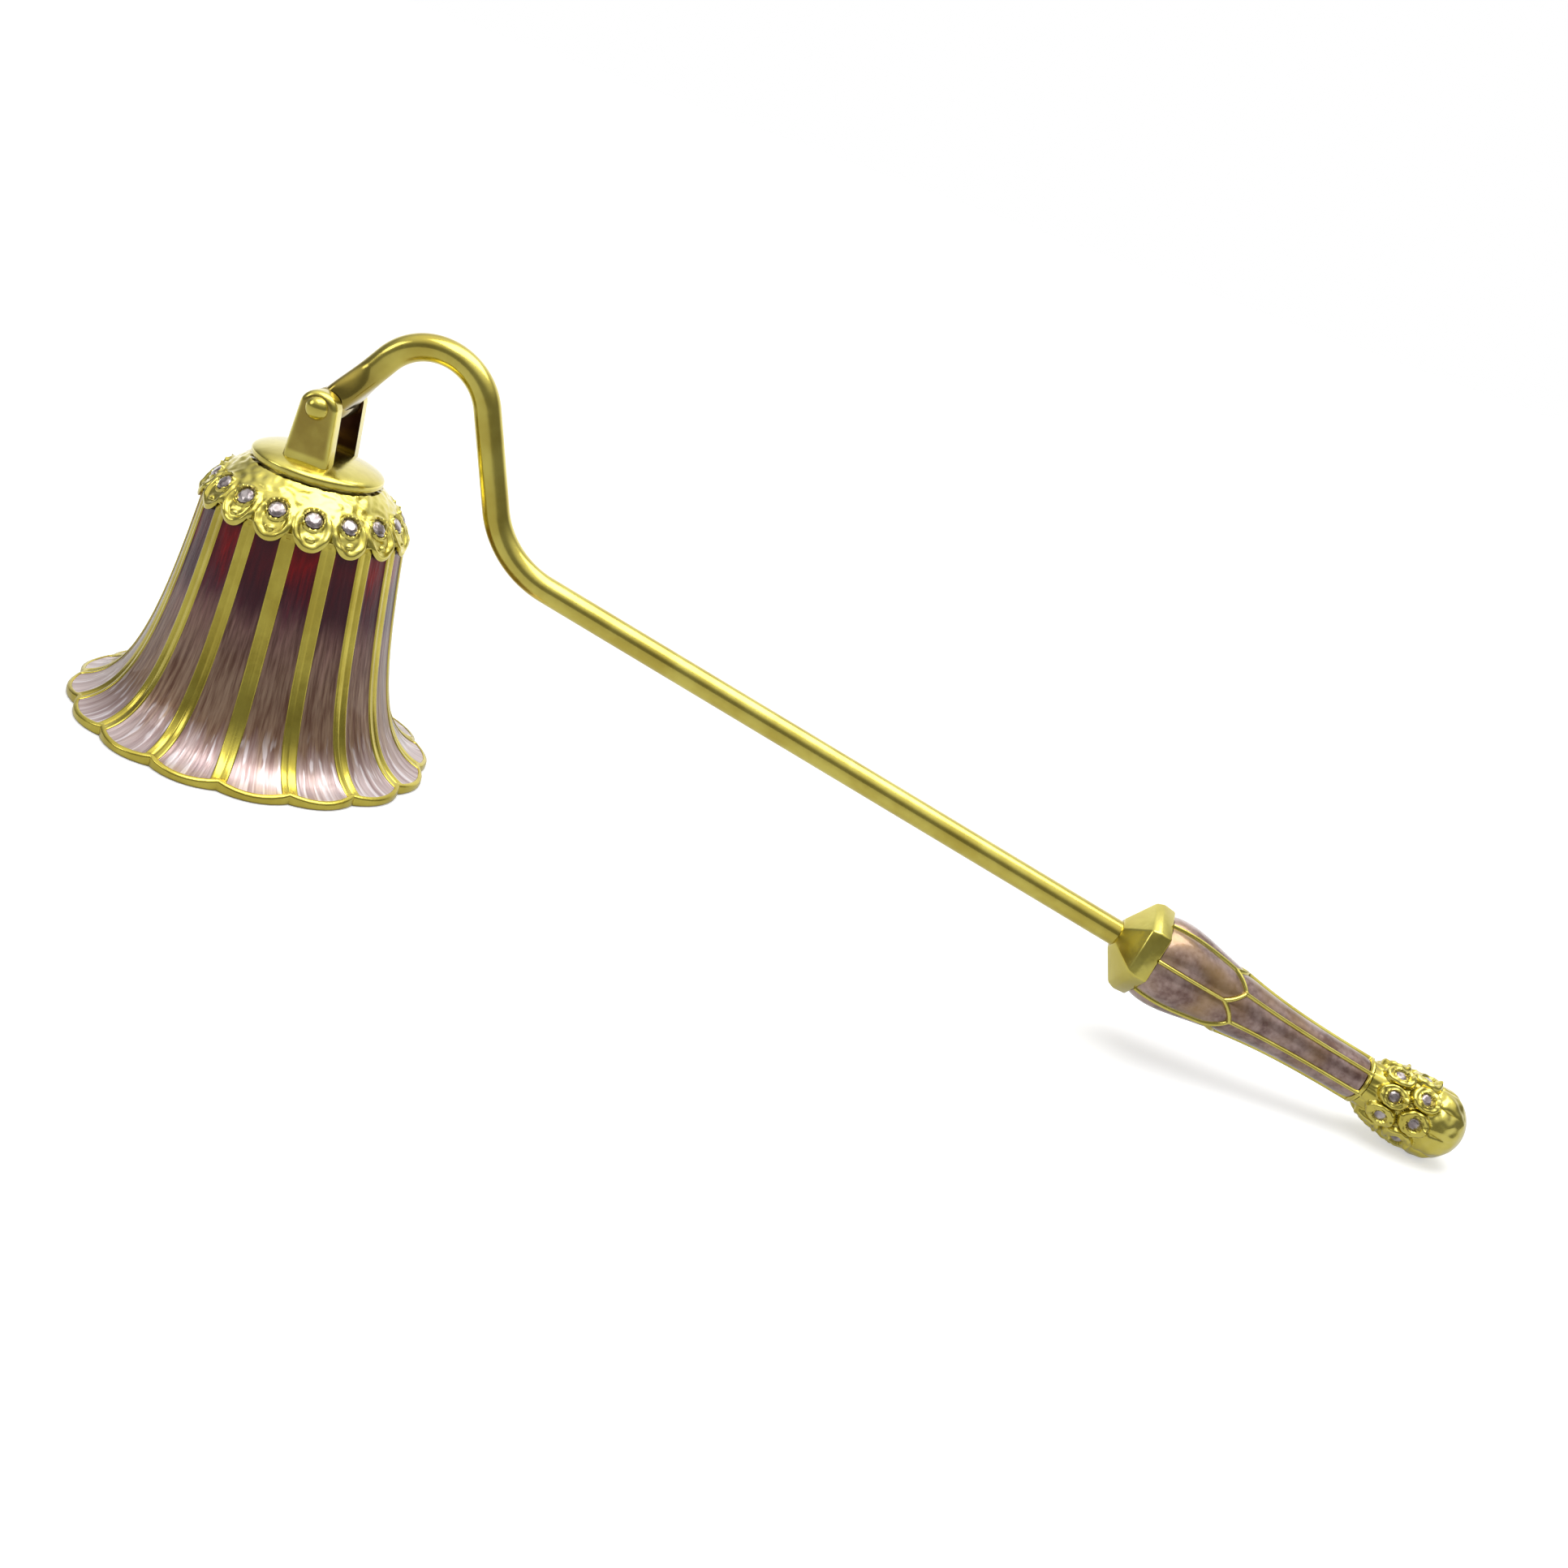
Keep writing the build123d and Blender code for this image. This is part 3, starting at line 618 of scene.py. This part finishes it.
def shaded_at_ears(material, name):
    """The same gold with painted shade: dark brown in the gap between the ears, and darker on their outer
    faces.
    """
    brown = material.copy()
    brown.name = name
    place, gold = plated(brown)
    _, y, z = place.axes()
    # Painted shade: dark brown in the gap between the ears and darker gold on their outer faces, above the
    # disc.
    aside = y.maths("ABSOLUTE", y)
    above = z.between(ear_shade_low * millimetre, ear_shade_high * millimetre)
    gap = aside.between((ear_inside + gap_shade_edge) * millimetre, ear_inside * millimetre) * above
    face = aside.between((ear_outside - face_shade_edge) * millimetre, ear_outside * millimetre) * above
    face_shade = face * (0.72 + 0.28 * place.noise(330.0, 3.0).between(0.30, 0.70))
    gold = face_shade.mixed(gold, (0.38, 0.275, 0.034))
    coat_with(brown, Base_Color=gap.mixed(gold, (0.120, 0.062, 0.040)), Coat_Weight=0.8 - 0.7 * gap)
    return brown


cap_shape = bmesh.new()
turned(cap_shape, [*cap_outline, *drawn(cap_curve, 24)])
for side in (-1, 1):
    ear(cap_shape, side)
cap = finished(cap_shape, "hinge_cap_casting", 40)
fitted(cap, "hinge_cap", "bell_side", shaded_at_ears(collar_gold, "cap_gold"))

# Hinge pin: a plain brass rod through both ears and the arm's eye, gold plated like the cap. Its two ends are
# riveted over to domed heads, so that it turns with the bell.
pin_outline = [(0.0, -7.75), (0.6, -7.66), (1.15, -7.38), (1.48, -6.98), (1.55, -6.68), (0.9, -6.66)]
across_hinge = Matrix.Translation((0.0, 0.0, pin_height * millimetre)) @ Matrix.Rotation(pi / 2, 4, "X")

pin_shape = bmesh.new()
turned(pin_shape, pin_outline + [(radius, -height) for radius, height in reversed(pin_outline)], 48)
bmesh.ops.transform(pin_shape, verts=pin_shape.verts, matrix=across_hinge)
pin = finished(pin_shape, "hinge_pin_riveted", 40)
fitted(pin, "hinge_pin", "bell_side", collar_gold)

# Arm: one round rod, spread to a broad neck with a drilled eye at the hinge, bent to a gooseneck and an
# elbow, and straight to the handle. Forged brass, polished lengthways and gold plated.
rod_radius = 1.85
rise_angle, rise_length = radians(55.5), 9.6
hook_radius = 8.2
leg_angle, leg_length = radians(-69.0), 20.4
elbow_radius = 13.0
handle_slope = radians(-11.506)
rod_length = 98.6
rod_tail = 1.5                 # how far the rod goes into the ferrule
neck_start = 1.3               # from the middle of the pin
neck_length, neck_taper = 6.3, 6.0
neck_half_width, neck_half_height = 3.8, 1.95
round_power, square_power = 2, 4
eye_outline = ((0.93, -3.85), (1.9, -3.85), (2.16, -3.76), (2.3, -3.5), (2.3, 3.5), (2.16, 3.76), (1.9, 3.85),
               (0.93, 3.85), (0.93, -3.85))
arm_columns = 64
neck_steps, hook_steps, leg_steps, elbow_steps, rod_steps = 40, 80, 12, 60, 24
browned_far, browned_near = 12.0, 4.0


def heading(angle):
    return Vector((cos(angle), sin(angle)))


def bend(centre, radius, start, end, steps):
    """Points on an arc between two angles."""
    return [centre + radius * heading(start + (end - start) * step / steps) for step in range(steps + 1)]


pin_place = Vector((0.0, pin_height))
neck_place = pin_place + neck_start * heading(rise_angle)
rise_end = pin_place + rise_length * heading(rise_angle)
hook_centre = rise_end + hook_radius * heading(rise_angle - pi / 2)
hook = bend(hook_centre, hook_radius, rise_angle + pi / 2, leg_angle + pi / 2, hook_steps)
corner = hook[-1] + leg_length * heading(leg_angle)
elbow_reach = elbow_radius * tan((handle_slope - leg_angle) / 2)
elbow_start = corner - elbow_reach * heading(leg_angle)
elbow_centre = elbow_start + elbow_radius * heading(leg_angle + pi / 2)
elbow = bend(elbow_centre, elbow_radius, leg_angle - pi / 2, handle_slope - pi / 2, elbow_steps)
rod_end = corner + (rod_length + rod_tail) * heading(handle_slope)
arm_line = Outline([neck_place.lerp(rise_end, step / neck_steps) for step in range(neck_steps)] + hook
                   + [hook[-1].lerp(elbow_start, step / leg_steps) for step in range(1, leg_steps)] + elbow
                   + [elbow[-1].lerp(rod_end, step / rod_steps) for step in range(1, rod_steps + 1)])


def rounded_corner(angle, power):
    """Point of a round or squared loop: a power of 2 gives a circle, a higher one a rounded square."""
    return [abs(part) ** (2 / power) * (1 if part > 0 else -1) for part in (cos(angle), sin(angle))]


def arm_point(column, row):
    run = arm_line.runs[row]
    spread = eased((neck_length - run) / neck_taper)
    width = rod_radius + (neck_half_width - rod_radius) * spread
    height = rod_radius + (neck_half_height - rod_radius) * spread
    power = round_power + (square_power - round_power) * spread
    across, up = rounded_corner(tau * column / arm_columns, power)
    point = arm_line.at(run, -height * up)
    return Vector((point.x, width * across, point.y))


def tube(name, columns, rows, place, addition=None):
    """A grid wrapped round an axis and closed at both ends. Another mesh can be joined to it."""
    shape = laid(columns, rows, place)
    bmesh.ops.remove_doubles(shape, verts=shape.verts, dist=merge_distance)
    bmesh.ops.holes_fill(shape, edges=shape.edges)
    if addition:
        shape.from_mesh(addition)
    return finished(shape, name, 40)


def browned(material):
    """Browns the gold towards the hinge."""
    place, gold = plated(material)
    pin_spot = (0.0, 0.0, pin_height * millimetre)
    from_pin = place.node("VectorMath", {"operation": "DISTANCE"}, {0: place, 1: pin_spot}, "Value")
    brown = from_pin.between(browned_far * millimetre, browned_near * millimetre) * 0.8
    coat_with(material, Base_Color=brown.mixed(gold, (0.33, 0.24, 0.035)))
    return material


eye_shape = bmesh.new()
turned(eye_shape, eye_outline, 72)
bmesh.ops.transform(eye_shape, verts=eye_shape.verts, matrix=across_hinge)
eye_mesh = as_mesh(eye_shape, "eye")
rod_gold = browned(gold_finish("rod_gold", (0.61, 0.490, 0.075), (0.76, 0.650, 0.13), (0.15, 0.10, 0.01),
                               0.20, 0.10, 0.5))
arm = tube("gooseneck_arm", arm_columns, len(arm_line.runs) - 1, arm_point, eye_mesh)
fitted(arm, "arm", "handle_side", rod_gold)

# Ferrule: six sided cap where the rod enters the handle, cast in brass and gold plated. Its facets are ground
# flat and their edges softened, and the rod is soldered into its tip.
ferrule_tip = Vector((123.78, 0.0, 15.693))
along_handle = Vector((cos(handle_slope), 0.0, sin(handle_slope)))
above_handle = Vector((-sin(handle_slope), 0.0, cos(handle_slope)))
handle_axes = Matrix((above_handle, (0.0, -1.0, 0.0), along_handle)).transposed().to_4x4()
handle_place = Matrix.Translation(ferrule_tip) @ handle_axes
handle_in_metres = Matrix.Scale(millimetre, 4) @ handle_place
petal_count = 6
petal_step = tau / petal_count
petal_turn = radians(-14.0)
ferrule_rings = ((1.9, 0.0), (2.35, 0.02), (6.5, 2.7), (6.9, 3.75), (6.72, 5.6), (5.0, 5.6))
ferrule_softening = 0.22

ferrule_shape = bmesh.new()
half_step = Matrix.Rotation(petal_turn + petal_step / 2, 3, "Z")
loops = []
for radius, height in ferrule_rings:
    ring = bmesh.ops.create_circle(ferrule_shape, segments=petal_count, radius=radius)["verts"]
    bmesh.ops.rotate(ferrule_shape, verts=ring, cent=(0, 0, 0), matrix=half_step)
    bmesh.ops.translate(ferrule_shape, verts=ring, vec=(0.0, 0.0, height))
    loops.append(ring)
for low, high in zip(loops, loops[1:]):
    sides = [edge for vert in low + high for edge in vert.link_edges if edge.other_vert(vert) in low + high]
    rings = [edge for edge in set(sides) if (edge.verts[0] in low) == (edge.verts[1] in low)]
    bmesh.ops.bridge_loops(ferrule_shape, edges=rings)
bmesh.ops.holes_fill(ferrule_shape, edges=ferrule_shape.edges)
bmesh.ops.bevel(ferrule_shape, geom=ferrule_shape.edges[:], offset=ferrule_softening, affect="EDGES",
                segments=3, profile=0.5, material=-1)
bmesh.ops.transform(ferrule_shape, verts=ferrule_shape.verts, matrix=handle_in_metres)
ferrule = finished(ferrule_shape, "six_sided_ferrule", 40)
fitted(ferrule, "handle_ferrule", "handle_side", collar_gold)

# Handle casting: a slender six sided grip, cast in gold with a cell for each enamel. Thin round wires stand
# between the cells: one between each two petals, a pointed arch round each petal, and one down from its tip.
handle_curve = ((5.9, 5.5), (6.5, 9.6), (6.3, 14.2), (3.4, 19.0), (3.3, 28.0), (3.3, 40.7))
handle_points = drawn(handle_curve, 300)
handle_heights = [point.y for point in handle_points]
handle_start, handle_end = 5.5, 40.65
handle_share = 0.975           # of the curve's radius, under the wires
flat_share, flats_end, flats_fade = 0.35, 16.0, 8.0
petal_half, petal_straight, petal_tip = 3.1, 13.2, 18.6
arch_round = (petal_half ** 2 + (petal_tip - petal_straight) ** 2) / (2 * petal_half)
handle_wire = 0.27             # half of a wire's width
wire_foot, wire_rise, cell_fall, cell_limit = 0.10, 0.26, 0.34, 1.2
no_wire = 9.0                  # a distance at which no wire shows
end_wire, long_end = 40.3, 39.9
sector_columns, handle_rows = 50, 230


def handle_radius(height):
    """Radius of the handle at a distance from the ferrule's tip."""
    step = min(max(bisect(handle_heights, height) - 1, 0), len(handle_points) - 2)
    low, high = handle_points[step], handle_points[step + 1]
    return low.x + (high.x - low.x) * (height - low.y) / (high.y - low.y)


def past_arch(across, height):
    """Distance outside the pointed arch of a petal."""
    if height < petal_straight:
        return across - petal_half
    return hypot(across + arch_round - petal_half, height - petal_straight) - arch_round


def from_petal(turn):
    """Angle from the middle of the nearest petal."""
    return centred(turn - petal_turn, petal_step)


def on_handle(turn, height, sink):
    """Place on the handle, its round section drawn a little towards six flats."""
    corner = 1 - cos(petal_step / 2) / cos(from_petal(turn))
    flat = 1 - flat_share * corner * eased((flats_end - height) / flats_fade)
    radius = handle_radius(height) / flat * handle_share - sink
    return handle_place @ around(turn, radius, height)


def wire_height(off, height):
    """1 on top of a wire, 0 at its foot, less in the cells."""
    radius = handle_radius(height)
    across = radius * sin(abs(off))
    arch = past_arch(across, height)
    between = radius * abs(petal_step / 2 - abs(off)) if arch < handle_wire else no_wire
    down = across if height > petal_tip else no_wire
    rim = min(between, abs(arch - handle_wire), down, abs(height - end_wire))
    return 1 - (rim / handle_wire) ** 2


def handle_point(column, row):
    turn = petal_turn + tau * column / (sector_columns * petal_count)
    height = handle_start + (handle_end - handle_start) * row / handle_rows
    raised = max(wire_height(from_petal(turn), height), -cell_limit)
    return on_handle(turn, height, -wire_foot - (wire_rise if raised > 0 else cell_fall) * raised)


handle_casting = tube("handle_casting", sector_columns * petal_count, handle_rows, handle_point)
fitted(handle_casting, "handle_body", "handle_side", collar_gold)

# Petal enamels: six pointed petals of brown mauve enamel behind the ferrule, clouded with amber. They are
# filled into their cells, fired until they stand domed, and left glossy.
petal_start, petal_margin = 5.6, 0.03
petal_sink, petal_dome = 0.08, 0.24
handle_enamel_thickness = 0.30
petal_columns, petal_rows = 20, 48


def petal_point(across, along, depth):
    height = petal_start + (petal_tip - petal_margin - petal_start) * along
    radius = handle_radius(height)
    beyond = max(height - petal_straight, 0.0)
    reach = petal_half - arch_round + sqrt(arch_round ** 2 - beyond ** 2)
    half = min(asin(min(reach / radius, 1.0)), petal_step / 2 - 0.5 * handle_wire / radius)
    dome = (1 - across ** 4) * (1 - (2 * along - 1) ** 8)
    return on_handle(petal_turn + across * half, height, petal_sink - petal_dome * dome + depth)


def handle_enamel_finish(name, deep, pale, amber):
    material, place = new_finish(name)
    cloud = place.noise(260.0, 3.0, 0.6)
    fine = place.noise(1500.0, 2.0)
    patch = place.noise(170.0, 1.0)
    ripple = place.noise(420.0, 1.0)
    tint = (0.75 * cloud + 0.25 * fine).between(0.30, 0.70).mixed(deep, pale)
    colour = (0.75 * patch.between(0.42, 0.78)).mixed(tint, amber)
    bump = place.node("Bump", {}, {"Strength": 0.7, "Distance": 0.2 * millimetre, "Height": ripple})
    coat_with(material, Base_Color=colour, Metallic=0.6, Roughness=0.28, Normal=bump, Specular_IOR_Level=0.3,
              Coat_Weight=1.0, Coat_Roughness=0.04)
    return material


def handle_copies(first, kind, material):
    """Six like enamels, each the first one turned about the handle."""
    for number in range(1, petal_count + 1):
        panel = first
        if number > 1:
            turn = Matrix.Rotation((number - 1) * petal_step, 4, "Z")
            about_handle = handle_in_metres @ turn @ handle_in_metres.inverted()
            panel = turned_copy(first, f"{kind}_panel_{number}", about_handle)
        fitted(panel, f"{kind}_enamel_{number}", "handle_side", material)


petal_enamel = handle_enamel_finish("petal_enamel", (0.15, 0.067, 0.048), (0.54, 0.385, 0.335),
                                    (0.42, 0.25, 0.08))
first_petal = sheet("petal_panel_1", petal_columns, petal_rows, petal_point, handle_enamel_thickness)
handle_copies(first_petal, "petal", petal_enamel)

# Long enamels: six panels of reddish brown enamel that run from between the petals down to the knob. They are
# fired flatter than the petals, between the wires.
long_margin = 0.08             # how far a panel goes under the arches of the petals
long_sink, long_dome = 0.06, 0.16
long_columns, long_rows = 24, 60
arch_tries = 4


def long_point(across, along, depth):
    off = petal_step / 2 - abs(across) * (petal_step / 2)
    start = petal_tip
    for _ in range(arch_tries):
        aside = handle_radius(start) * sin(off) + arch_round - petal_half
        start = petal_straight + sqrt(max((arch_round + 2 * handle_wire) ** 2 - aside ** 2, 0.0))
    height = start - long_margin + (long_end - start) * along
    turn = across * (petal_step / 2 - 0.5 * handle_wire / handle_radius(height))
    dome = (1 - across ** 4) * (1 - (2 * along - 1) ** 16)
    return on_handle(petal_turn + petal_step / 2 + turn, height, long_sink - long_dome * dome + depth)


long_enamel = handle_enamel_finish("long_enamel", (0.12, 0.048, 0.038), (0.50, 0.36, 0.32),
                                   (0.34, 0.19, 0.065))
first_long = sheet("long_panel_1", long_columns, long_rows, long_point, handle_enamel_thickness)
handle_copies(first_long, "long", long_enamel)

# Knob: a bud shaped end with two rows of leaves, each with a hollow, a raised rim and a seat for a stone.
# Cast and gold plated, with a stud that goes up into the handle.
knob_radius, knob_middle = 5.4, 51.6
knob_curve = ((knob_radius, knob_middle), (knob_radius, 47.54), (4.605, 43.49), (3.9, 41.2))
knob_end = [Vector((knob_radius * sin(radians(angle)), knob_middle + knob_radius * cos(radians(angle))))
            for angle in range(0, 90, 3)]
knob_side = Outline(knob_end + drawn(knob_curve, 60))
knob_core = ((3.35, 40.62), (1.6, 40.62), (1.6, 35.6), (0.0, 35.6))
knob_stones = 8
knob_step = tau / knob_stones
knob_columns, knob_levels = 40, 96
knob_rows = ((7.15, 0.0), (2.90, 0.5))       # above the neck, and turned by a share of a step
knob_notch = 0.85              # how far the knob's edge is notched between its neck leaves
bud_radius = 5.0               # at which the leaves have their width
bud_half_width, bud_half_height = 2.0, 2.35
bud_rise = 0.22
bud_rim = (0.76, 0.30, 0.30)
bud_gap, bud_floor = 0.60, 0.42
bud_seat_rim = (1.06, 0.30, 0.26)
bud_seat_radius, bud_seat_height = 0.98, 0.10
bud_bead = (0.0, 0.62, 0.36)
bud_bead_up = 1.75
bud_ripple = 0.10
bud_skin, bud_skin_waves = 0.12, 1.1
bud_sink = 0.30
end_sink, end_gap = 0.06, 0.42
end_skin, end_skin_waves = 0.26, 0.7


def knob_relief(turn, up):
    """Height of the knob's leaves: domed rims, hollows round the stones, deep gaps between the leaves."""
    leaf = -1.0
    for middle, shift in knob_rows:
        across = centred(turn - shift * knob_step, knob_step) * bud_radius
        ring = hypot(across / bud_half_width, (up - middle) / bud_half_height)
        from_stone = hypot(across, up - middle)
        height = bud_rise + ridge(ring, *bud_rim) - bud_gap * past(ring, 0.88, 0.22)
        ripple = bud_ripple * sin(7.0 * turn + 3.0 * up) * sin(2.2 * up)
        height += ridge(from_stone, *bud_seat_rim) + ripple
        if from_stone < bud_seat_radius:
            height = min(height, bud_seat_height)
        height += ridge(hypot(across * 0.8, up - middle - bud_bead_up), *bud_bead)
        leaf = max(leaf, height)
    leaf = max(leaf, -bud_floor) + bud_skin * cast_skin(turn, bud_radius, up, bud_skin_waves)
    gap = end_gap * (1 - abs(sin(turn * knob_stones / 2))) ** 3 * hump(up - 10.4, 3.6)
    skin = end_skin * cast_skin(turn, bud_radius, up, end_skin_waves) * hump(up - 11.4, 5.0)
    smooth = -end_sink - gap + skin
    return leaf - bud_sink + (smooth + bud_sink - leaf) * past(up, 8.9, 1.3)


def knob_point(column, row):
    turn = column * tau / (knob_columns * knob_stones)
    if row < knob_levels:
        notch = knob_notch * abs(cos(turn * knob_stones / 2)) ** 2 * eased(row / knob_levels * 3 - 2)
        run = (knob_side.length - notch) * row / (knob_levels - 1)
        point = knob_side.at(run, -knob_relief(turn, knob_side.length - run))
    else:
        point = Vector(knob_core[row - knob_levels])
    return handle_place @ around(turn, point.x, point.y)


knob = tube("bud_knob", knob_columns * knob_stones, knob_levels + len(knob_core) - 1, knob_point)
fitted(knob, "end_knob", "handle_side", collar_gold)

# Knob stones: two rows of eight round stones, of the same foiled glass and cut as those of the collar and a
# little smaller. Each is set in the seat of its leaf.
knob_stone_radius = 0.95
knob_stone_sink = 0.36

for (middle, shift), node in zip(knob_rows, ("knob_crystals_end_row", "knob_crystals_neck_row")):
    run = knob_side.length - middle
    turns = [(number + shift) * knob_step for number in range(knob_stones)]
    places = [handle_place @ seat(knob_side, run, knob_stone_sink, turn) for turn in turns]
    stones = cut_stones(node.replace("crystals", "stones"), places, knob_stone_radius)
    fitted(stones, node, "handle_side", foiled_stone)

# Studio: a sheet of white paper on the table, which keeps a soft shadow, and a white backdrop behind it.
# One broad softbox hangs overhead and a small one stands at the left.
paper_half_size = 6.0
paper_gap = 0.05               # below the object, so that the two don't touch

paper_shape = bmesh.new()
bmesh.ops.create_grid(paper_shape, x_segments=1, y_segments=1, size=paper_half_size)
bmesh.ops.translate(paper_shape, verts=paper_shape.verts, vec=(0.0, 0.0, -paper_gap * millimetre))
paper = in_scene("paper_floor", as_mesh(paper_shape, "paper_floor"))


def direct_rays(start):
    """1 for what the camera, a reflection or a clear piece shows, 0 for light on the object."""
    rays = start.tree.nodes.new("ShaderNodeLightPath")
    camera, glossy, clear = [Paint(start.tree, rays.outputs[name])
                             for name in ("Is Camera Ray", "Is Glossy Ray", "Is Transmission Ray")]
    return camera, camera.maths("MAXIMUM", camera, camera.maths("MAXIMUM", glossy, clear))


paper_white, place = new_finish("white_paper")
tree = paper_white.node_tree
camera_rays, shown_rays = direct_rays(place)
distance = place.node("VectorMath", {"operation": "LENGTH"}, {0: place}, "Value")
glow = place.node("Emission", {}, {"Strength": distance.between(0.12, 0.75) * 0.36 + 0.50})
coat_with(paper_white, Base_Color=(0.80, 0.80, 0.80, 1.0), Roughness=0.9, Specular_IOR_Level=0.0)
surface = Paint(tree, tree.nodes["Principled BSDF"].outputs[0])
lit = place.node("AddShader", {}, {0: surface, 1: glow})
in_front = place.axes()[1].between(0.30, -0.10) * 0.56 * (1.0 - camera_rays)
dimmed = place.node("MixShader", {}, {0: in_front, 1: lit})
seen = place.node("MixShader", {}, {0: shown_rays, 1: surface, 2: dimmed})
tree.links.new(seen.socket, tree.nodes["Material Output"].inputs["Surface"])
paper.data.materials.append(paper_white)

world = bpy.data.worlds.new("studio")
bpy.context.scene.world = world
world.use_nodes = True
tree = world.node_tree
start = Paint(tree)
camera_rays, shown_rays = direct_rays(start)
_, away, up = start.node("TexCoord", output="Generated").axes()
brightness = away.maths("MAXIMUM", away.between(0.35, 0.92), up.between(0.35, 0.95))
room = brightness.mixed((0.20, 0.20, 0.20), (1.1, 1.1, 1.1))
soft_light = start.node("Background", {}, {"Color": (0.42, 0.42, 0.42, 1.0)})
backdrop = start.node("Background", {}, {"Color": (1.0, 1.0, 1.0, 1.0)})
reflected = start.node("Background", {}, {"Color": room})
shown = start.node("MixShader", {}, {0: camera_rays, 1: reflected, 2: backdrop})
light = start.node("MixShader", {}, {0: shown_rays, 1: soft_light, 2: shown})
tree.links.new(light.socket, tree.nodes["World Output"].inputs["Surface"])


def softbox(name, place, aim, width, height, power):
    lamp = bpy.data.lights.new(name, "AREA")
    lamp.shape, lamp.size, lamp.size_y, lamp.energy = "RECTANGLE", width, height, power
    holder = in_scene(name, lamp)
    holder.location = place
    holder.rotation_euler = (Vector(aim) - Vector(place)).to_track_quat("-Z", "Y").to_euler()


softbox("overhead_softbox", (0.10, -0.02, 0.50), (0.08, 0.0, 0.02), 0.62, 0.30, 1.9)
softbox("left_softbox", (-0.45, -0.25, 0.30), (0.0, 0.0, 0.03), 0.20, 0.20, 0.30)

# Camera: near the object and a little above it, tilted and rolled as the photograph was taken.
# Its eye is in the part's own frame, and the last small shift centres the object as there.
eye = Vector((73.399, -239.563, 102.670)) * millimetre
camera_tilt, camera_roll = 0.334958, 0.349825
camera_shift = Vector((0.12, 0.17, 0.0)) * millimetre
camera_data = bpy.data.cameras.new("camera")
camera_data.lens = 42.2
camera_data.sensor_width = 36.0
camera_data.clip_start = 0.01
camera = in_scene("camera", camera_data)
camera.matrix_world = (Matrix.Translation(eye) @ Matrix.Rotation(radians(90) - camera_tilt, 4, "X")
                       @ Matrix.Rotation(camera_roll, 4, "Z") @ Matrix.Translation(camera_shift))
bpy.context.scene.camera = camera
bpy.context.scene.view_settings.view_transform = "Standard"
